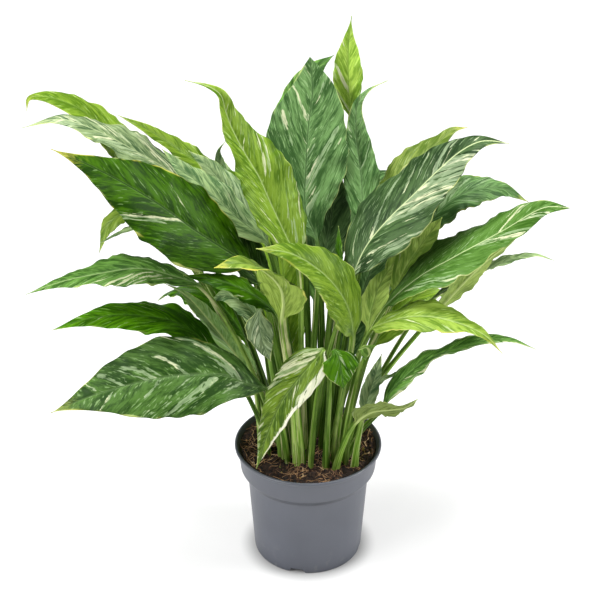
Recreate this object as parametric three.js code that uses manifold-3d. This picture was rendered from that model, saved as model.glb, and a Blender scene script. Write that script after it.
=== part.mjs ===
// Potted variegated peace lily in a plain nursery pot.
// Millimetres, +Z up. The origin is the centre of the pot's foot, on the ground.
// The plant leans its fullest side towards -Y. Every leaf is one closed solid:
// a channelled stalk that stands in a hole in the soil, and a folded, waved blade.
import * as THREE from 'three';
import { mergeVertices } from 'three/addons/utils/BufferGeometryUtils.js';
import Module from 'manifold-3d';

// Pot, a thin moulded bucket with a straight collar above a stepped shoulder
const POT_HEIGHT = 102;
const LIP_RADIUS = 60;
const COLLAR_TOP_RADIUS = 57;
const COLLAR_FOOT_RADIUS = 55.5;
const COLLAR_FOOT = 82;
const BODY_TOP_RADIUS = 49.5;
const BODY_TOP = 72.5;
const FOOT_RADIUS = 43.3;
const POT_WALL = 1.4;
const FLOOR_UNDERSIDE = 4.5;
const PAD_RADIUS = 18;
const POT_SIDES = 36;
const NOTCH_COUNT = 4;
const NOTCH_TURN = -102;
const NOTCH_WIDE = 15.5;
const NOTCH_NARROW = 10;
const NOTCH_HEIGHT = 4.5;
const DRAIN_COUNT = 8;
const DRAIN_RADIUS = 3.5;
const DRAIN_RING = 29;

// Soil, level a little below the lip
const SOIL_TOP = 95;
const SOIL_GAP = 0.4;
const SOIL_RINGS = 4;
const SOIL_SIDES = 24;
const SOIL_LUMP = 1.1;

// Stalks
const ROOT_DEPTH = 12;
const HOLE_GAP = 0.4;
const HOLE_REACH = 6;
const HOLE_SIDES = 6;
const HOLE_MARGIN = 1.6;
const HOLE_THICK = 6.6;
const STALK_FOOT_WIDTH = 6.6;
const STALK_FOOT_THICK = 4.6;
const STALK_TOP_WIDTH = 4;
const STALK_TOP_THICK = 3.2;
const STALK_STEPS = 4;
const STALK_BOW = 0.14;
const CHANNEL_PROFILE = [0.3, 0.86, 0.74, 0.86, 0.3];
const BACK_PROFILE = [0.3, 0.9, 1.1, 0.9, 0.3];

// Blades
const BLADE_THICK = 0.9;
const RIB_THICK = 2.6;
const TIP_WIDTH = 1.4;
const BLADE_STEP = 17;
const BLADE_STEPS_MIN = 5;
const COLUMNS = [-1, -0.55, 0, 0.55, 1];
const BELLY = 0.4;
const TAPER = 1.25;
const EDGE_DROOP = 0.22;
const WAVES = 1.6;
const WAVES_MORE = 0.9;
const WAVE_LAG = 1.9;
const SEED_STEP = 0.618;
const CURVE_SAMPLES = 160;

// Leaf finishes
const FINISHES = {
  deep: { colour: '#2f5f35', roughness: 0.42 },
  fresh: { colour: '#6f9a3c', roughness: 0.4 },
  silver: { colour: '#6d8c72', roughness: 0.45 },
  olive: { colour: '#738a4c', roughness: 0.5 },
};

// Each leaf: where its stalk leaves the soil, then the points of its midrib from
// the collar to the tip, the blade's width, and where its upper side looks at the
// collar, the middle and the tip. belly is where along the blade it is widest, and
// stalk is the stalk's width at its foot and at its top.
const LEAVES = [
  // back and middle, upright
  { name: 'leaf_centre_tall', finish: 'deep', foot: [3, 4], width: 64, fold: 0.16, wave: 2.2,
    belly: 0.5, taper: 1,
    rib: [[7, 18, 277], [-2, 24, 301], [-2, 38, 334], [0, 50, 363], [3, 59, 388], [1, 66, 413]],
    face: [[0, -1, 0.35], [0, -1, 0.35], [0, -1, 0.3]] },
  { name: 'leaf_top_young', finish: 'fresh', foot: [11, 13], width: 24, fold: 0.4, wave: 1,
    taper: 1.9, belly: 0.45,
    rib: [[34, 72, 352], [32, 76, 372], [31, 80, 396], [31, 83, 418], [33, 85, 439]],
    face: [[-0.6, -0.8, 0.1], [-0.3, -1, 0.1], [0.3, -1, 0.2]] },
  { name: 'leaf_centre_right', finish: 'deep', foot: [14, 4], width: 28, fold: 0.4, wave: 2,
    taper: 1.9, belly: 0.28,
    rib: [[41, 30, 287], [42, 40, 307], [40, 50, 329], [37, 58, 355], [38, 62, 375], [46, 64, 386],
      [61, 67, 393]],
    face: [[0.1, -1, 0.3], [0.1, -1, 0.3], [0, -0.7, 0.7]] },
  { name: 'leaf_centre_left', finish: 'fresh', foot: [-3, -8], width: 54, fold: 0.5, wave: 2,
    taper: 1.8, belly: 0.32,
    rib: [[-9, -8, 275], [-19, -4, 299], [-29, 0, 321], [-38, 4, 342], [-48, 8, 359],
      [-57, 11, 377], [-62, 13, 391], [-66, 14, 405], [-76, 14, 412], [-92, 13, 417]],
    face: [[0.75, -0.6, 0.25], [0.75, -0.6, 0.3], [0.4, -0.3, 0.9]] },
  { name: 'leaf_behind_tall', finish: 'deep', foot: [2, 21], width: 48, fold: 0.2, wave: 2,
    rib: [[-4, 62, 288], [-7, 84, 330], [-3, 98, 365], [6, 104, 386], [20, 105, 398]],
    face: [[0, -0.8, 0.6], [0, -0.8, 0.6], [0.2, -0.4, 0.9]] },
  { name: 'leaf_centre_inner', finish: 'deep', foot: [10, -4], width: 18, fold: 0.3, wave: 1,
    rib: [[27, 8, 246], [25, 9, 270], [23, 11, 296]],
    face: [[-0.9, -0.3, 0.2], [-0.9, -0.3, 0.2], [-0.9, -0.3, 0.2]] },

  // right side
  { name: 'leaf_right_striped', finish: 'deep', foot: [1, -20], width: 60, fold: 0.2, wave: 2.2,
    taper: 1.4, belly: 0.36,
    rib: [[34, -6, 260], [44, 2, 282], [61, 8, 303], [79, 12, 321], [99, 17, 341], [117, 21, 356],
      [132, 24, 362], [153, 26, 359]],
    face: [[-0.47, -0.5, 0.72], [-0.47, -0.5, 0.72], [-0.1, -0.3, 0.9]] },
  { name: 'leaf_right_upper', finish: 'fresh', foot: [19, 13], width: 30, fold: 0.2, wave: 1.5,
    rib: [[53, 38, 294], [67, 46, 316], [84, 53, 332], [101, 58, 344], [113, 61, 354], [124, 63, 355]],
    face: [[-0.4, -0.4, 0.8], [-0.3, -0.4, 0.9], [0, -0.2, 1]] },
  { name: 'leaf_right_dark', finish: 'deep', foot: [30, 13], width: 32, fold: 0.2, wave: 2,
    rib: [[88, 34, 273], [107, 38, 300], [129, 42, 311], [152, 44, 311], [173, 45, 299]],
    face: [[-0.4, -0.4, 0.8], [-0.15, -0.4, 0.9], [0.3, -0.3, 0.9]] },
  { name: 'leaf_right_long', finish: 'fresh', foot: [17, -9], width: 54, fold: 0.22, wave: 2.4,
    belly: 0.46, taper: 1,
    rib: [[59, -8, 233], [86, -10, 263], [108, -12, 279], [147, -14, 305], [178, -14, 325],
      [197, -13, 324]],
    face: [[-0.5, -0.12, 0.85], [-0.5, -0.12, 0.85], [-0.2, -0.1, 1]] },
  { name: 'leaf_right_under', finish: 'olive', foot: [30, -4], width: 30, fold: 0.2, wave: 1.5,
    rib: [[98, 4, 219], [113, 5, 239], [135, 7, 264], [153, 9, 280], [169, 11, 294]],
    face: [[-0.3, 0.75, 0.6], [-0.3, 0.75, 0.6], [-0.3, 0.6, 0.8]] },
  { name: 'leaf_right_thin', finish: 'deep', foot: [35, 5], width: 22, fold: 0.3, wave: 1.2,
    rib: [[98, 22, 223], [136, 28, 245], [164, 30, 257], [180, 31, 259], [195, 31, 254]],
    face: [[-0.3, 0.2, 0.9], [-0.2, 0.2, 0.9], [0, 0.1, 1]] },
  { name: 'leaf_right_bright', finish: 'fresh', foot: [25, -11], width: 40, fold: 0.25, wave: 1.6,
    taper: 1.5, belly: 0.35,
    rib: [[48, -24, 222], [63, -30, 235], [85, -38, 244], [110, -46, 244], [133, -54, 237],
      [147, -60, 224]],
    face: [[0, -0.1, 1], [0, -0.1, 1], [0.4, -0.1, 0.9]] },
  { name: 'leaf_right_low_twisted', finish: 'deep', foot: [30, -18], width: 27, fold: 0.3, wave: 1.8,
    rib: [[58, -30, 154], [64, -31, 169], [75, -33, 185], [93, -36, 204], [117, -40, 218],
      [140, -43, 226], [156, -46, 227], [174, -49, 221]],
    face: [[-0.9, -0.3, 0.3], [-0.35, 0.1, 0.9], [0, 0.1, 1]] },
  { name: 'leaf_right_low_pale', finish: 'olive', foot: [22, -31], width: 38, fold: 0.25, wave: 1.2,
    rib: [[37, -38, 146], [49, -42, 159], [64, -46, 164], [75, -49, 168], [85, -52, 178]],
    face: [[-0.2, 0.8, 0.55], [-0.2, 0.8, 0.55], [-0.4, 0.6, 0.6]] },
  { name: 'leaf_right_olive', finish: 'olive', foot: [20, 0], width: 22, fold: 0.3, wave: 1,
    rib: [[47, 2, 207], [50, 4, 226], [56, 7, 246], [67, 10, 264]],
    face: [[0.2, -0.9, 0.3], [0.2, -0.9, 0.3], [0, -0.8, 0.5]] },
  { name: 'leaf_right_inner', finish: 'olive', foot: [27, 5], width: 34, fold: 0.25, wave: 1.4,
    rib: [[68, 14, 231], [75, 18, 251], [90, 22, 276], [104, 25, 296]],
    face: [[-0.3, -0.8, 0.4], [-0.3, -0.8, 0.4], [-0.2, -0.8, 0.5]] },
  { name: 'leaf_right_silver', finish: 'silver', foot: [35, -10], width: 16, fold: 0.3, wave: 0.8,
    rib: [[48, -12, 150], [54, -14, 166], [65, -17, 176], [78, -22, 184]],
    face: [[-0.3, 0.2, 0.9], [-0.3, 0.2, 0.9], [-0.3, 0.2, 0.9]] },

  // front
  { name: 'leaf_front_arched', finish: 'fresh', foot: [21, -22], width: 44, fold: 0.3, wave: 1.8,
    stalk: [8, 6],
    rib: [[34, -34, 222], [31, -42, 250], [22, -48, 273], [7, -54, 294], [-14, -58, 310],
      [-39, -60, 315]],
    face: [[0.5, -0.6, 0.5], [0.5, -0.5, 0.7], [0.2, -0.3, 0.9]] },
  { name: 'leaf_front_hooded', finish: 'fresh', foot: [-7, -26], width: 42, fold: 0.3, wave: 1.8,
    stalk: [9.4, 7.6],
    rib: [[-20, -38, 241], [-19, -42, 259], [-22, -47, 276], [-35, -54, 294], [-51, -60, 303],
      [-70, -64, 301]],
    face: [[0.3, 0.9, 0.1], [0.5, 0.6, 0.7], [0.2, -0.3, 0.9]] },
  { name: 'leaf_front_drooping', finish: 'deep', foot: [2, -29], width: 32, fold: 0.3, wave: 1.4,
    belly: 0.25, stalk: [6.8, 4.6],
    rib: [[12, -37, 213], [3, -46, 208], [-8, -53, 197], [-19, -58, 183], [-30, -61, 157],
      [-41, -58, 116]],
    face: [[0, -0.6, 0.8], [-0.3, -0.8, 0.5], [-0.4, -0.9, 0.2]] },
  { name: 'leaf_front_small', finish: 'deep', foot: [14, -30], width: 30, fold: 0.2, wave: 1,
    rib: [[19, -40, 214], [23, -46, 213], [25, -51, 204], [27, -54, 188]],
    face: [[0.3, -0.6, 0.7], [0.3, -0.8, 0.5], [0.4, -0.9, 0.1]] },
  { name: 'leaf_front_curl', finish: 'deep', foot: [29, -26], width: 13, fold: 0.6, wave: 0.5,
    rib: [[43, -30, 200], [47, -35, 210], [44, -39, 217], [38, -39, 214]],
    face: [[-0.6, -0.6, 0.4], [-0.4, 0.2, 0.9], [0.2, 0.6, 0.8]] },

  // left side
  { name: 'leaf_left_top', finish: 'fresh', foot: [-22, 13], width: 50, fold: 0.22, wave: 1.8,
    taper: 1.2,
    rib: [[-108, 50, 304], [-131, 47, 330], [-154, 43, 360], [-176, 37, 384], [-199, 32, 395],
      [-211, 29, 395], [-213, 27, 386]],
    face: [[0.5, -0.15, 0.85], [0.4, -0.15, 0.9], [-0.3, -0.1, 0.9]] },
  { name: 'leaf_left_silver', finish: 'silver', foot: [-15, 4], width: 46, fold: 0.2, wave: 2.2,
    taper: 1.6, belly: 0.38,
    rib: [[-72, 18, 310], [-103, 15, 339], [-134, 11, 362], [-159, 7, 379], [-185, 3, 390],
      [-213, -1, 385]],
    face: [[0.5, -0.1, 0.85], [0.4, -0.15, 0.9], [0, -0.1, 1]] },
  { name: 'leaf_left_big', finish: 'deep', foot: [-12, -12], width: 62, fold: 0.15, wave: 2.4,
    taper: 1.6,
    rib: [[-42, -16, 273], [-60, -21, 290], [-86, -27, 313], [-113, -33, 339], [-146, -38, 364],
      [-170, -41, 379], [-187, -43, 388]],
    face: [[0.4, -0.7, 0.55], [0.4, -0.7, 0.55], [0.3, -0.5, 0.8]] },
  { name: 'leaf_left_inner', finish: 'silver', foot: [-7, -2], width: 34, fold: 0.2, wave: 1.6,
    rib: [[-31, 3, 283], [-52, 6, 303], [-73, 8, 324], [-91, 9, 341], [-111, 11, 362]],
    face: [[0.5, -0.4, 0.75], [0.5, -0.4, 0.75], [0.4, -0.4, 0.8]] },
  { name: 'leaf_left_twisted', finish: 'fresh', foot: [-9, 22], width: 24, fold: 0.3, wave: 1.6,
    rib: [[-36, 50, 291], [-51, 49, 308], [-72, 47, 323], [-99, 43, 344], [-121, 39, 363],
      [-145, 36, 378]],
    face: [[0.5, -0.3, 0.8], [0.2, -0.3, 0.9], [0.3, -0.5, 0.8]] },
  { name: 'leaf_left_blue', finish: 'silver', foot: [-5, 9], width: 34, fold: 0.2, wave: 1.4,
    rib: [[-32, 25, 271], [-45, 27, 296], [-64, 28, 321], [-79, 29, 340], [-92, 30, 351]],
    face: [[0.4, -0.5, 0.75], [0.4, -0.5, 0.75], [0.4, -0.5, 0.75]] },
  { name: 'leaf_left_curled', finish: 'silver', foot: [-16, 30], width: 16, fold: 0.4, wave: 0.8,
    rib: [[-47, 56, 280], [-60, 60, 304], [-70, 63, 323], [-71, 64, 334], [-65, 65, 342]],
    face: [[0.4, -0.6, 0.5], [0.4, -0.6, 0.5], [0.8, -0.4, -0.2]] },
  { name: 'leaf_left_small', finish: 'fresh', foot: [-30, 19], width: 20, fold: 0.25, wave: 0.8,
    rib: [[-123, 29, 295], [-142, 23, 301], [-155, 17, 293], [-163, 11, 272]],
    face: [[-0.2, -0.4, 0.9], [-0.5, -0.4, 0.75], [-0.8, -0.4, 0.3]] },
  { name: 'leaf_left_spike', finish: 'deep', foot: [-29, 11], width: 14, fold: 0.3, wave: 0.6,
    rib: [[-110, 18, 291], [-129, 13, 294], [-146, 8, 291], [-161, 3, 285]],
    face: [[0, 0.2, 1], [0, 0.2, 1], [-0.1, 0.2, 1]] },
  { name: 'leaf_left_level', finish: 'deep', foot: [-22, -6], width: 38, fold: 0.2, wave: 1.8,
    taper: 1.5,
    rib: [[-83, -18, 258], [-106, -22, 271], [-128, -26, 279], [-158, -30, 277], [-189, -33, 271],
      [-215, -36, 262]],
    face: [[0.3, -0.1, 1], [0, -0.1, 1], [-0.2, -0.1, 1]] },
  { name: 'leaf_left_lower', finish: 'deep', foot: [-31, -9], width: 46, fold: 0.2, wave: 2,
    rib: [[-60, -8, 175], [-80, -12, 203], [-103, -16, 225], [-141, -21, 235], [-171, -24, 233],
      [-199, -26, 224]],
    face: [[0.4, -0.1, 0.9], [0.1, -0.1, 1], [-0.2, -0.1, 1]] },
  { name: 'leaf_left_low_big', finish: 'deep', foot: [-16, -23], width: 64, fold: 0.15, wave: 3,
    taper: 1.6, belly: 0.45,
    rib: [[-30, -46, 181], [-44, -50, 189], [-64, -57, 202], [-91, -64, 207], [-121, -69, 205],
      [-163, -74, 195], [-197, -75, 180]],
    face: [[0.3, -0.6, 0.8], [0.1, -0.65, 0.75], [-0.1, -0.6, 0.8]] },
  { name: 'leaf_left_underside', finish: 'olive', foot: [-38, -2], width: 32, fold: 0.25, wave: 1.4,
    rib: [[-43, 5, 151], [-54, 4, 177], [-75, 1, 213], [-97, -3, 244], [-112, -5, 254]],
    face: [[0.45, 0.8, 0.3], [0.45, 0.8, 0.3], [0.45, 0.7, 0.5]] },
  { name: 'leaf_left_hanging', finish: 'silver', foot: [-21, -16], width: 22, fold: 0.25, wave: 1,
    rib: [[-37, -41, 252], [-38, -47, 243], [-35, -50, 227], [-29, -52, 212]],
    face: [[-0.2, -0.6, 0.8], [-0.3, -0.9, 0.2], [-0.3, -0.9, 0.1]] },
  { name: 'leaf_left_shadow', finish: 'deep', foot: [-9, -19], width: 24, fold: 0.2, wave: 1.2,
    rib: [[-26, -27, 239], [-41, -30, 257], [-64, -33, 271], [-95, -36, 279]],
    face: [[0.4, -0.2, 0.9], [0.3, -0.2, 0.9], [0.1, -0.2, 1]] },
  { name: 'leaf_left_pale', finish: 'silver', foot: [-15, -4], width: 22, fold: 0.2, wave: 1,
    rib: [[-36, -10, 215], [-49, -10, 238], [-65, -10, 246], [-77, -10, 240]],
    face: [[0.4, -0.5, 0.7], [0.2, -0.5, 0.85], [0, -0.4, 0.9]] },

  // far side
  { name: 'leaf_far_left', finish: 'deep', foot: [-27, 33], width: 52, fold: 0.2, wave: 2.2,
    rib: [[-50, 54, 256], [-70, 78, 278], [-90, 102, 282], [-108, 122, 268], [-121, 138, 244]],
    face: [[0.3, -0.5, 0.8], [-0.2, 0.3, 1], [-0.4, 0.5, 0.7]] },
  { name: 'leaf_far_right', finish: 'deep', foot: [24, 35], width: 48, fold: 0.2, wave: 2.2,
    rib: [[30, 47, 147], [41, 61, 194], [59, 80, 236], [82, 101, 257], [104, 121, 254],
      [122, 138, 236]],
    face: [[-0.1, -1, 0.3], [0, -0.5, 0.9], [0.4, 0.5, 0.7]] },
  { name: 'leaf_far_middle', finish: 'deep', foot: [4, 39], width: 44, fold: 0.2, wave: 2.4,
    rib: [[6, 56, 200], [7, 88, 222], [9, 121, 226], [12, 154, 210], [15, 180, 184]],
    face: [[0, -0.7, 0.7], [0, 0, 1], [0, 0.6, 0.7]] },
  { name: 'leaf_far_left_low', finish: 'deep', foot: [-32, 26], width: 48, fold: 0.2, wave: 2,
    rib: [[-50, 43, 170], [-78, 72, 195], [-106, 98, 190], [-130, 118, 165]],
    face: [[0.3, -0.4, 0.8], [0, 0.1, 1], [-0.3, 0.3, 0.9]] },
  { name: 'leaf_far_right_low', finish: 'fresh', foot: [32, 24], width: 44, fold: 0.2, wave: 2,
    rib: [[52, 43, 165], [80, 70, 190], [105, 93, 192], [122, 110, 175]],
    face: [[-0.3, -0.4, 0.8], [0, 0.1, 1], [0.3, 0.3, 0.9]] },
  { name: 'leaf_far_right_high', finish: 'deep', foot: [14, 24], width: 42, fold: 0.2, wave: 2,
    rib: [[34, 50, 262], [46, 76, 288], [56, 104, 296], [64, 130, 280], [68, 148, 254]],
    face: [[-0.2, -0.6, 0.7], [0.1, 0.1, 1], [0.3, 0.5, 0.7]] },
  { name: 'leaf_far_left_high', finish: 'fresh', foot: [-9, 34], width: 42, fold: 0.2, wave: 2,
    rib: [[-16, 44, 140], [-19, 54, 190], [-21, 76, 240], [-23, 108, 272], [-27, 142, 276],
      [-30, 166, 256]],
    face: [[-0.1, -1, 0.3], [-0.1, -0.5, 0.8], [-0.1, 0.6, 0.7]] },

  // inner leaves, half hidden by the others
  { name: 'leaf_inner_back', finish: 'deep', foot: [12, 33], width: 34, fold: 0.2, wave: 1.6,
    stalk: [8, 6],
    rib: [[10, 36, 235], [14, 39, 262], [18, 43, 285], [20, 48, 308], [22, 54, 332]],
    face: [[0, -1, 0.3], [0, -1, 0.3], [0, -1, 0.3]] },
  { name: 'leaf_inner_left', finish: 'deep', foot: [-25, 3], width: 30, fold: 0.2, wave: 1.2,
    rib: [[-34, -6, 250], [-44, -3, 272], [-56, 0, 292], [-66, 2, 305]],
    face: [[0.4, -0.6, 0.7], [0.4, -0.6, 0.7], [0.4, -0.6, 0.7]] },
  { name: 'leaf_inner_right', finish: 'silver', foot: [37, -31], width: 14, fold: 0.25, wave: 0.8,
    rib: [[43, -32, 148], [48, -31, 170], [53, -29, 188], [57, -28, 204]],
    face: [[-0.3, -0.9, 0.3], [-0.3, -0.9, 0.3], [-0.3, -0.9, 0.3]] },
];

const vec = (p) => new THREE.Vector3(...p);

// A closed solid from rings of equal length, with a fan of faces over each end
function loft(rings) {
  const count = rings[0].length;
  const positions = rings.flat().flatMap((p) => [p.x, p.y, p.z]);
  const faces = [];
  for (let ring = 0; ring + 1 < rings.length; ring++) {
    for (let side = 0; side < count; side++) {
      const next = (side + 1) % count;
      const a = ring * count + side;
      const b = ring * count + next;
      faces.push(a, b, b + count, a, b + count, a + count);
    }
  }
  const last = (rings.length - 1) * count;
  const half = count / 2;
  for (let side = 0; side + 1 < half; side++) {
    const across = count - 1 - side;
    faces.push(side, across, side + 1, side + 1, across, across - 1);
    faces.push(last + side, last + side + 1, last + across);
    faces.push(last + side + 1, last + across - 1, last + across);
  }
  const geometry = new THREE.BufferGeometry();
  geometry.setAttribute('position', new THREE.Float32BufferAttribute(positions, 3));
  geometry.setIndex(faces);
  geometry.computeVertexNormals();
  return geometry;
}

// Points and directions at equal steps along part of a curve
function steps(curve, from, to, count) {
  const last = CURVE_SAMPLES;
  const points = [];
  for (let i = 0; i <= last; i++) points.push(curve.getPoint(from + ((to - from) * i) / last));
  const lengths = [0];
  for (let i = 1; i <= last; i++) lengths.push(lengths[i - 1] + points[i].distanceTo(points[i - 1]));
  const total = lengths[last];
  const stations = [];
  let at = 1;
  for (let i = 0; i <= count; i++) {
    const wanted = (total * i) / count;
    while (at < last && lengths[at] < wanted) at++;
    const share = (wanted - lengths[at - 1]) / (lengths[at] - lengths[at - 1]);
    const point = points[at - 1].clone().lerp(points[at], share);
    const along = points[at].clone().sub(points[at - 1]).normalize();
    stations.push({ point, along, u: i / count });
  }
  return { stations, total };
}

// The midline of a leaf: up from the roots, out to the collar and on to the tip
function midline(leaf) {
  const [x, y] = leaf.foot;
  const collar = vec(leaf.rib[0]);
  const root = new THREE.Vector3(x, y, SOIL_TOP - ROOT_DEPTH);
  const foot = new THREE.Vector3(x, y, SOIL_TOP);
  const bend = foot.clone().lerp(collar, 0.5);
  bend.x -= (collar.x - x) * STALK_BOW;
  bend.y -= (collar.y - y) * STALK_BOW;
  const curve = new THREE.CatmullRomCurve3([root, foot, bend, ...leaf.rib.map(vec)]);
  return { curve, collarAt: 3 / (leaf.rib.length + 2) };
}

// Where the upper side looks, a share u along the blade
function facing(leaf, u) {
  const [a, b, c] = leaf.face.map((p) => vec(p).normalize());
  return u < 0.5 ? a.lerp(b, u * 2) : b.lerp(c, u * 2 - 1);
}

function squared(along, face) {
  const up = face.clone().addScaledVector(along, -face.dot(along)).normalize();
  const across = new THREE.Vector3().crossVectors(along, up);
  return { across, up };
}

// Half the blade's width, a share u along it
function halfWidth(leaf, u) {
  const belly = leaf.belly ?? BELLY;
  const taper = leaf.taper ?? TAPER;
  const swell = (taper * belly) / (1 - belly);
  const shape = Math.pow(u / belly, swell) * Math.pow((1 - u) / (1 - belly), taper);
  return (leaf.width / 2) * shape;
}

// One ring of a stalk: an oval with a shallow channel along its upper side
function stalkRing(station, width, thick) {
  const { point, across, up } = station;
  const place = (s, lift) => point.clone()
    .addScaledVector(across, (s * width) / 2)
    .addScaledVector(up, (lift * thick) / 2);
  const top = COLUMNS.map((s, i) => place(s, CHANNEL_PROFILE[i]));
  const bottom = COLUMNS.map((s, i) => place(s, -BACK_PROFILE[i]));
  return [...top, ...bottom.reverse()];
}

// One ring of a blade: folded along the rib, drooping and waved at its edges
function bladeRing(leaf, station, seed) {
  const { point, across, up, u } = station;
  const half = Math.max(halfWidth(leaf, u), TIP_WIDTH / 2, (stalkWidth(leaf, 1) / 2) * (1 - u * 6));
  const swell = leaf.wave * Math.sin(Math.PI * Math.min(1, u * 1.15));
  const turns = u * (WAVES + seed * WAVES_MORE) + seed;
  const height = (s) => {
    const lag = s < 0 ? 0 : WAVE_LAG;
    const wave = Math.sin(2 * Math.PI * turns + lag) * swell * s * s;
    return half * (leaf.fold * Math.abs(s) - EDGE_DROOP * s * s) + wave;
  };
  const rib = BLADE_THICK + (RIB_THICK - BLADE_THICK) * Math.pow(1 - u, 1.4);
  const place = (s, lift) => point.clone()
    .addScaledVector(across, s * half)
    .addScaledVector(up, height(s) + lift);
  const top = COLUMNS.map((s) => place(s, BLADE_THICK / 2));
  const bottom = COLUMNS.map((s) => place(s, s === 0 ? BLADE_THICK / 2 - rib : -BLADE_THICK / 2));
  return [...top, ...bottom.reverse()];
}

// The stalk's stations from the root to the collar, its faces turned without twist
function stalkStations(curve, collarAt, collar) {
  const { stations } = steps(curve, 0, collarAt, STALK_STEPS);
  let up = collar.up;
  for (let i = stations.length - 1; i >= 0; i--) {
    Object.assign(stations[i], squared(stations[i].along, up));
    up = stations[i].up;
  }
  return stations;
}

const stalkEnds = (leaf) => leaf.stalk ?? [STALK_FOOT_WIDTH, STALK_TOP_WIDTH];

function stalkWidth(leaf, u) {
  const [foot, top] = stalkEnds(leaf);
  return foot + (top - foot) * u;
}

const stalkThick = (u) => STALK_FOOT_THICK + (STALK_TOP_THICK - STALK_FOOT_THICK) * u;

function leafStations(leaf) {
  const { curve, collarAt } = midline(leaf);
  const length = steps(curve, collarAt, 1, 1).total;
  const count = Math.max(BLADE_STEPS_MIN, Math.round(length / BLADE_STEP));
  const blade = steps(curve, collarAt, 1, count).stations;
  for (const station of blade) Object.assign(station, squared(station.along, facing(leaf, station.u)));
  const stalk = stalkStations(curve, collarAt, blade[0]);
  return { stalk, blade };
}

function leafGeometry(leaf, seed) {
  const { stalk, blade } = leafStations(leaf);
  const rings = [
    ...stalk.slice(0, -1).map((s) => stalkRing(s, stalkWidth(leaf, s.u), stalkThick(s.u))),
    stalkRing(blade[0], stalkWidth(leaf, 1), STALK_TOP_THICK),
    ...blade.slice(1).map((s) => bladeRing(leaf, s, seed)),
  ];
  return loft(rings);
}

// The plain hole that a stalk stands in, a little wider and deeper than the stalk's foot
function holeGeometry(leaf) {
  const { stalk } = leafStations(leaf);
  const [root, foot] = stalk;
  const reach = (stalkWidth(leaf, 0) + HOLE_MARGIN) / 2;
  const start = root.point.clone().addScaledVector(root.along, -HOLE_GAP);
  const end = foot.point.clone().addScaledVector(foot.along, HOLE_REACH);
  const rings = [[start, root], [end, foot]].map(([point, station]) => {
    const ring = [];
    for (let i = 0; i < HOLE_SIDES; i++) {
      const turn = (2 * Math.PI * (i + 0.5)) / HOLE_SIDES;
      ring.push(point.clone()
        .addScaledVector(station.across, -Math.cos(turn) * reach)
        .addScaledVector(station.up, Math.sin(turn) * HOLE_THICK / 2));
    }
    return ring;
  });
  return loft(rings);
}

// A profile of [radius, height] points turned about the pot's axis, closed on itself
function turned(profile, sides) {
  const points = profile.map(([r, z]) => new THREE.Vector2(r, z));
  const geometry = new THREE.LatheGeometry(points, sides);
  geometry.rotateX(Math.PI / 2);
  return geometry;
}

const wasm = await Module();
wasm.setup();

function toSolid(geometry) {
  const bare = geometry.clone();
  bare.deleteAttribute('normal');
  bare.deleteAttribute('uv');
  const merged = mergeVertices(bare, 1e-4);
  const mesh = new wasm.Mesh({
    numProp: 3,
    vertProperties: new Float32Array(merged.attributes.position.array),
    triVerts: new Uint32Array(merged.index.array),
  });
  return new wasm.Manifold(mesh);
}

function toGeometry(solid) {
  const mesh = solid.getMesh();
  const geometry = new THREE.BufferGeometry();
  geometry.setAttribute('position', new THREE.Float32BufferAttribute(mesh.vertProperties, 3));
  geometry.setIndex(Array.from(mesh.triVerts));
  geometry.computeVertexNormals();
  return geometry;
}

// The pot's inner wall, from the floor's edge to the lip
const INNER_WALL = [
  [FOOT_RADIUS - 1, FLOOR_UNDERSIDE + POT_WALL],
  [BODY_TOP_RADIUS - POT_WALL, BODY_TOP + 0.5],
  [BODY_TOP_RADIUS + 2.4, BODY_TOP + 6.4],
  [COLLAR_FOOT_RADIUS - POT_WALL, COLLAR_FOOT + 0.4],
  [COLLAR_TOP_RADIUS - POT_WALL, POT_HEIGHT - 4],
  [LIP_RADIUS - 2.4, POT_HEIGHT - 0.6],
];

function potGeometry() {
  const underside = [
    [0, 0], [PAD_RADIUS, 0], [PAD_RADIUS + 2, FLOOR_UNDERSIDE],
    [FOOT_RADIUS - 5.5, FLOOR_UNDERSIDE], [FOOT_RADIUS - 3.5, 0],
  ];
  const outside = [
    [FOOT_RADIUS, 0], [FOOT_RADIUS + 0.9, 1.6], [FOOT_RADIUS + 1.3, 5],
    [BODY_TOP_RADIUS, BODY_TOP], [BODY_TOP_RADIUS + 1, BODY_TOP + 2.2],
    [BODY_TOP_RADIUS + 4, BODY_TOP + 5.4], [COLLAR_FOOT_RADIUS - 0.3, COLLAR_FOOT - 1.6],
    [COLLAR_FOOT_RADIUS, COLLAR_FOOT], [COLLAR_TOP_RADIUS, POT_HEIGHT - 4],
    [LIP_RADIUS, POT_HEIGHT - 2.2], [LIP_RADIUS, POT_HEIGHT - 0.6],
    [LIP_RADIUS - 0.8, POT_HEIGHT], [LIP_RADIUS - 1.8, POT_HEIGHT],
  ];
  const floor = [
    [PAD_RADIUS, FLOOR_UNDERSIDE + POT_WALL], [PAD_RADIUS - 2, POT_WALL], [0, POT_WALL],
  ];
  const shell = turned([...underside, ...outside, ...[...INNER_WALL].reverse(), ...floor], POT_SIDES);
  let solid = toSolid(shell);
  for (let i = 0; i < NOTCH_COUNT; i++) solid = solid.subtract(toSolid(notchGeometry(i)));
  for (let i = 0; i < DRAIN_COUNT; i++) solid = solid.subtract(toSolid(drainGeometry(i)));
  return toGeometry(solid);
}

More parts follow.
